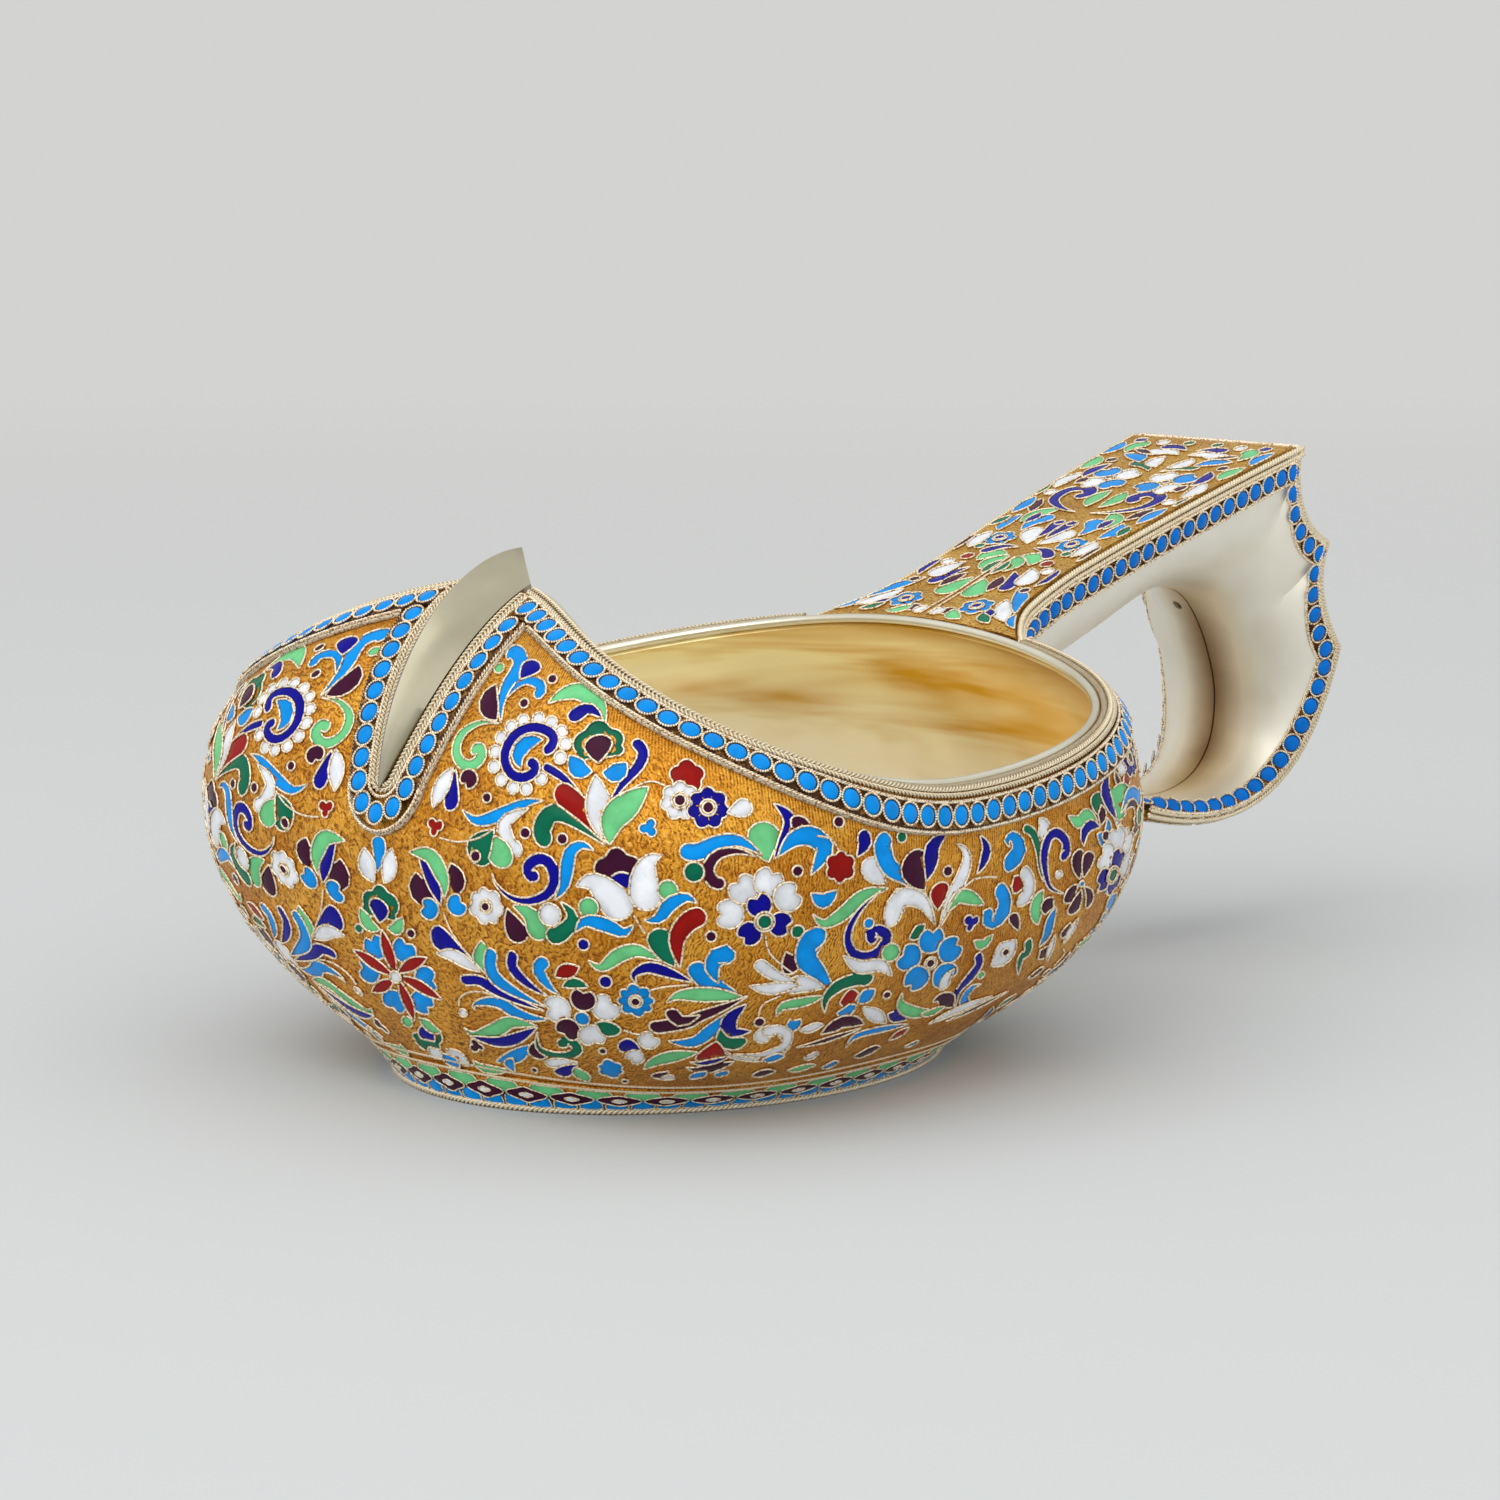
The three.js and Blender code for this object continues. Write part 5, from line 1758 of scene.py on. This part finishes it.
    def finish(self, name, both=False, slot="turquoise_enamel", radius=0.15):
        """Two pieces, the enamel and its wires, on both sides of the middle plane where both is true."""
        order = np.concatenate([np.full(len(sheet[0]), k + 1) for k, sheet in enumerate(self.sheets)])
        rows, outs, lifts = (np.concatenate([sheet[k] for sheet in self.sheets]) for k in range(3))
        lifts = np.where(self.covered(rows, order), -0.1, lifts)
        points = rows + outs * lifts[:, None]
        glaze = np.vstack([sheet[4] for sheet in self.sheets])
        faces, start = [], 0
        for sheet in self.sheets:
            faces += [[i + start for i in f] for f in sheet[3]]
            start += len(sheet[0])
        wires = self.open_runs()
        if both:
            count = len(points)
            faces = faces + [[i + count for i in f[::-1]] for f in faces]
            points = np.vstack([points, mirrored(points)])
            glaze = np.vstack([glaze, glaze])
            wires = wires + [(mirrored(p), mirrored(o), c) for p, o, c in wires]
        piece(f"{name}_enamel", points, faces, [ENAMEL], glaze=glaze, smooth=60)
        loops = [(len(p), closed) for p, _, closed in wires]
        base = carrier(np.vstack([p for p, _, _ in wires]), np.vstack([o for _, o, _ in wires]), loops)
        wire = grown(base, CELL_WIRE, Radius=radius * MM, Material=WIRE)
        joined(f"{name}_wire", [wire])


NEAR_SIDE = UPPER_LEFT + SPRAY + UNDER_VEE + MIDDLE + RIGHT_SIDE + LOWEST_ROW
STERN_TURN, STERN_LOW, STERN_SINK = math.radians(119), 6, 3.0
ROOT_SIDE, ROOT_LOW = 19, 32


def swapped(p):
    """The same place at the other end of the bowl."""
    return np.array([2 * BELLY["mid"] - p[0], p[1], p[2] - STERN_SINK * (p[2] / BELLY_FRONT_HEIGHT)])


def on_stern(p):
    """Free ground at the stern: behind what the near side covers, and clear of the handle's root."""
    turn = math.atan2(-p[1], BELLY["mid"] - p[0])
    under_root = abs(p[1]) < ROOT_SIDE and p[2] > ROOT_LOW
    return turn > STERN_TURN and p[2] > STERN_LOW and not under_root


field = Cells(sheet_faces, sheet_points)
field.draw(NEAR_SIDE)
field.move, field.keep = swapped, on_stern
field.draw(NEAR_SIDE)
field.finish("field", both=True)

centre = Cells(sheet_faces, sheet_points)
centre.draw(MIDDLE_LINE)
centre.move, centre.keep = swapped, lambda p: p[2] < ROOT_LOW + 1
centre.draw(MIDDLE_LINE)
centre.finish("centre_line")

foot_sheet = np.hstack([foot_rows, foot_rows[:, :1]])
foot_run = run_of(foot_sheet[3])
foot_faces = grid_faces(FOOT_ROWS, FOOT_TURNS + 1)[:, ::-1]
foot = Cells(foot_faces, foot_sheet.reshape(-1, 3), view=(0, 0, 1))
foot.WIRE_LIFT = 0.06


def foot_row(count, share, reach, tone, layer, shift=0.0):
    """A row of cells round the foot, at a share of the sloping band's height."""
    line = foot_sheet[0] + (foot_sheet[-1] - foot_sheet[0]) * share
    for k in range(count):
        length = foot_run[-1] * (((k + shift) / count) % 1)
        spot, ahead = (at_length(length + step, foot_run, line) for step in (0, 0.2))
        foot.round_cell(spot, ahead - spot, reach, GLAZES[tone], layer, flat=0.45)
        foot.count += 1


foot_row(72, 0.04, scallop(1.42, 1.6), "t", 0.0)
foot_row(40, 0.66, scallop(2.3, 1.7), "m", 0.02, 0.5)
foot_row(40, 0.5, oval(2.7, 0.85), "v", 0.05)
foot_row(40, 0.5, oval(0.9, 0.28), "w", 0.12)
foot.finish("foot", slot="green_enamel", radius=0.1)

# The same, in millimetres: along a panel from its first row, and across it from the middle to the near
# edge. PATTERN_RUN and PATTERN_HALF are the panel's length and half width that the lines were drawn for.
PATTERN_RUN, PATTERN_HALF = 68.5, 14.6
HANDLE_PATTERN = """
leaf w 2.4 2.0,-11.5 5.0,-10.6 8.0,-9.8
flower t 2.5 6 5.0,-6.2 b 0.9
dot v 1.1 2.6,-2.8
drop m 3.2 13.5,-1.2 10,-2.4 7.5,-2.8
leaf t 2.0 4.5,-12.8 8.5,-12.0 12.0,-9.4
drop b 2.0 16.5,-4.6 13.5,-6.6 10.4,-7.2
drop w 2.8 18,-6.8 15.5,-8.4 12.6,-9
leaf v 1.8 9.8,-4.6 12.4,-4.4 14.8,-3.6
dot w 1.0 17.6,-10.2
leaf m 2.6 21.4,-1 18.6,-2.4 16.2,-2.4
leaf m 2.4 21.6,-1.6 21.4,-4.6 18.8,-5.4
dot r 1.0 19.8,-8.2
drop b 1.6 24.2,-1.6 23.8,-4.4 21.4,-7
flower t 2.4 6 26.4,-7.2 b 0.9
leaf w 2.2 22.6,-10.4 25.4,-10.8 28.4,-10.4
leaf t 1.9 29,-9.8 32,-10.6 35,-9.8
drop w 3.4 25.6,-1 28.6,-2.6 31,-3.6
drop b 1.8 27.6,-0.9 31,-0.9 34,-1.6
drop t 2.4 29.6,-5.6 32.6,-5.8 35.4,-3.8
leaf m 2.4 32.4,-8.2 35.6,-7.4 38.2,-4.8
leaf v 1.6 36,-9 38.6,-10 41,-10.6
drop b 1.8 37.4,-1.4 38.4,-5 41,-8.4 44.6,-8.6 46,-6 44.2,-4.2 42.4,-5.6
leaf m 2.2 39.6,-1.2 42.6,-2 46,-1.4
dot w 1.0 43.6,-11
leaf t 1.9 35.2,-12 38.4,-12 41.6,-12.4
leaf w 2.2 45.4,-11.6 48.6,-12 51.8,-10.8
heart w 1.9 48.6,-6.8 47,-8.2
heart t 1.9 48.6,-3.4 47,-2
heart w 1.9 52.2,-3.4 54,-2
heart t 1.9 52.2,-6.8 54,-8.2
dot+ v 0.6 50.4,-5.1
leaf b 1.8 50,-9.8 53,-10 56,-8.8
leaf m 2.2 53,-12.4 56,-12 58.6,-12.8
drop g 1.8 54.4,-1 56.4,-3 57,-6
leaf w 2.2 56,-1 58,-2.6 60.4,-2.4
leaf t 2.2 57.4,-4.8 59.4,-6.4 60.2,-9.4
drop w 2.6 61.5,-0.8 62.6,-3.6 61.4,-6.8
drop b 1.8 63.4,-0.8 64.4,-3 64,-5.6
drop m 2.4 60.8,-9.8 63.4,-10 65.4,-8.4
leaf t 2.0 59.4,-13.2 62.2,-12.4 65.2,-12.8
dot w 1.0 66,-6.6
leaf b 1.7 65.2,-11.2 67.2,-10
dot v 0.9 57.4,-9.8
dot g 0.9 66.4,-2.4
leaf b 1.3 12.6,-11.6 15.4,-12.6 18.4,-12
leaf g 1.5 15,-0.9 17.2,-1 19.6,-0.9
leaf v 1.4 21.4,-12.6 24,-13 26.8,-12.4
leaf g 1.4 30.4,-12.6 32.4,-12 34.4,-11.4
leaf b 1.4 32.2,-7.2 34.2,-6.9 36.2,-7.1
leaf v 1.5 47.4,-9.4 48.8,-8.9 50.2,-9.2
leaf g 1.3 42.2,-12.8 44.2,-13.2 46.4,-13
leaf b 1.3 2,-8.8 3.4,-9 4.8,-8.6
dot v 0.8 11.2,-10.9
leaf t 1.8 1.0,-13.4 2.6,-12.9 4.2,-13.0
leaf g 1.5 0.9,-9.4 2.0,-8.4 3.4,-8.0
leaf m 1.8 0.9,-5.4 1.5,-4.0 3.4,-3.4
leaf w 1.6 1.0,-1.0 2.2,-1.4 3.6,-1.2
dot g 0.8 23.4,-8.8
dot b 0.8 33.4,-1.2
leaf v 1.2 60.8,-5.2 62.2,-8.2 62,-9
wire 1.0,-0.5 8,-0.5 15,-0.5 21,-0.5
"""


def draw_panel(name, rows):
    """The pattern on a handle panel's outer face, stretched to its length and its width."""
    across, middle = np.linspace(-1, 1, 17), 8
    grid = np.array([[place(s, 0, k * (s[3] - EDGE_CLEAR)) for k in across] for s in rows])
    spine, halves = grid[:, middle], [s[3] for s in rows]
    run = run_of(spine)
    stretch = run[-1] / PATTERN_RUN
    faces = grid_faces(len(rows), len(across))
    out = np.cross(spine[1] - spine[0], grid[0, middle + 1] - spine[0])
    if np.dot(out, [-rows[0][1][0], 0, -rows[0][1][1]]) < 0:
        faces = faces[:, ::-1]

    def locate(along_mm, y):
        at = at_length(along_mm * stretch, run, spine)
        half = np.interp(along_mm * stretch, run, halves)
        share = max(min(half / PATTERN_HALF, 1.28), 0.55)
        return np.array([at[0], y * share, at[2]])

    cells = Cells(faces, grid.reshape(-1, 3), px_per_mm=1.0, plump=1.1, view=(0, 0, 0))
    cells.draw(HANDLE_PATTERN, locate)
    cells.finish(name, both=True, slot="panel_enamel", radius=0.14)


draw_panel("handle_top_pattern", top_stations(0, TOP_END, 60))
draw_panel("handle_back_pattern", back_stations(BACK_START))

for shape in (DISC, DISC_RING):
    bpy.data.objects.remove(shape)
repainted("base_plate", SILVER)


# ---------------------------------------------------------------- stage, light and camera
def floor_and_backdrop():
    """A pale sweep: flat under the kovsh, then curving up behind it."""
    across = np.linspace(-2.2, 2.2, 9)
    bend = [(0.9 + 0.8 * math.sin(a), 0.8 - 0.8 * math.cos(a)) for a in np.linspace(0, 1.45, 24)]
    profile = [(-1.6, 0.0), *bend, (1.75, 3.0)]
    away = np.array([-BACK[0], -BACK[1], 0]) / math.hypot(BACK[0], BACK[1])
    rows = np.array([[away * d + RIGHT * x + np.array([0, 0, h]) for x in across] for d, h in profile])
    mesh = bpy.data.meshes.new("pale_sweep")
    mesh.from_pydata(rows.reshape(-1, 3).tolist(), [], grid_faces(len(profile), len(across)).tolist())
    mesh.shade_smooth()
    made, s, surface, where = new_material("pale_sweep", roughness=0.9)
    tone = noise(s, where, 3.0, 2.0).mix(srgb("c9cbcc"), srgb("cccece"))
    feed(surface, s, Base_Color=tone)
    seen = s.node("ShaderNodeLightPath", out=0)
    for index in (3, 6):
        seen = seen.math("MAXIMUM", seen, s.node("ShaderNodeLightPath", out=index))
    flat = s.node("ShaderNodeVectorMath", {0: where, 1: tuple(away)}, out=1, operation="DOT_PRODUCT")
    glow = s.node("ShaderNodeEmission", {0: (*srgb("d3d3d1"), 1), 1: 1.0})
    far = flat.node("ShaderNodeMixShader", {0: flat.between(0.1, 1.0) * seen})
    mixer = far.socket.node
    made.node_tree.links.new(surface.outputs[0], mixer.inputs[1])
    made.node_tree.links.new(glow.socket, mixer.inputs[2])
    made.node_tree.links.new(far.socket, made.node_tree.nodes["Material Output"].inputs[0])
    mesh.materials.append(made)
    linked("pale_sweep", mesh)


floor_and_backdrop()


AIM = (0, 0, 0.03)


def soft_lamp(name, where, width, height, power, tint):
    """A large lamp that looks at the kovsh."""
    data = bpy.data.lights.new(name, "AREA")
    data.shape = "RECTANGLE"
    data.size, data.size_y = width, height
    data.energy = power
    data.color = tint
    lamp = linked(name, data)
    lamp.location = where
    lamp.rotation_euler = (Vector(AIM) - Vector(where)).to_track_quat("-Z", "Y").to_euler()


soft_lamp("window", (-1.1, 0.0, 1.0), 1.6, 1.3, 9.0, (1.0, 0.995, 0.98))
soft_lamp("overhead", (0.1, -0.1, 1.4), 2.2, 2.2, 5.5, (1.0, 1.0, 1.0))
soft_lamp("fill", (-0.9, -1.7, 0.9), 1.9, 1.2, 6.0, (0.98, 0.99, 1.0))

world = bpy.data.worlds.new("room")
bpy.context.scene.world = world
world.use_nodes = True
background = world.node_tree.nodes["Background"]
background.inputs["Color"].default_value = (0.80, 0.81, 0.80, 1)
background.inputs["Strength"].default_value = 0.95

camera_data = bpy.data.cameras.new("camera")
camera_data.sensor_width = 36
camera_data.lens = FOCAL_PX / FRAME_PX * camera_data.sensor_width
camera_data.clip_start, camera_data.clip_end = 0.01, 20
camera = linked("camera", camera_data)
turned = Matrix([[RIGHT[i], UP[i], BACK[i]] for i in range(3)]).to_4x4()
camera.matrix_world = Matrix.Translation(Vector(EYE * MM)) @ turned
bpy.context.scene.camera = camera
bpy.context.scene.view_settings.view_transform = "Standard"
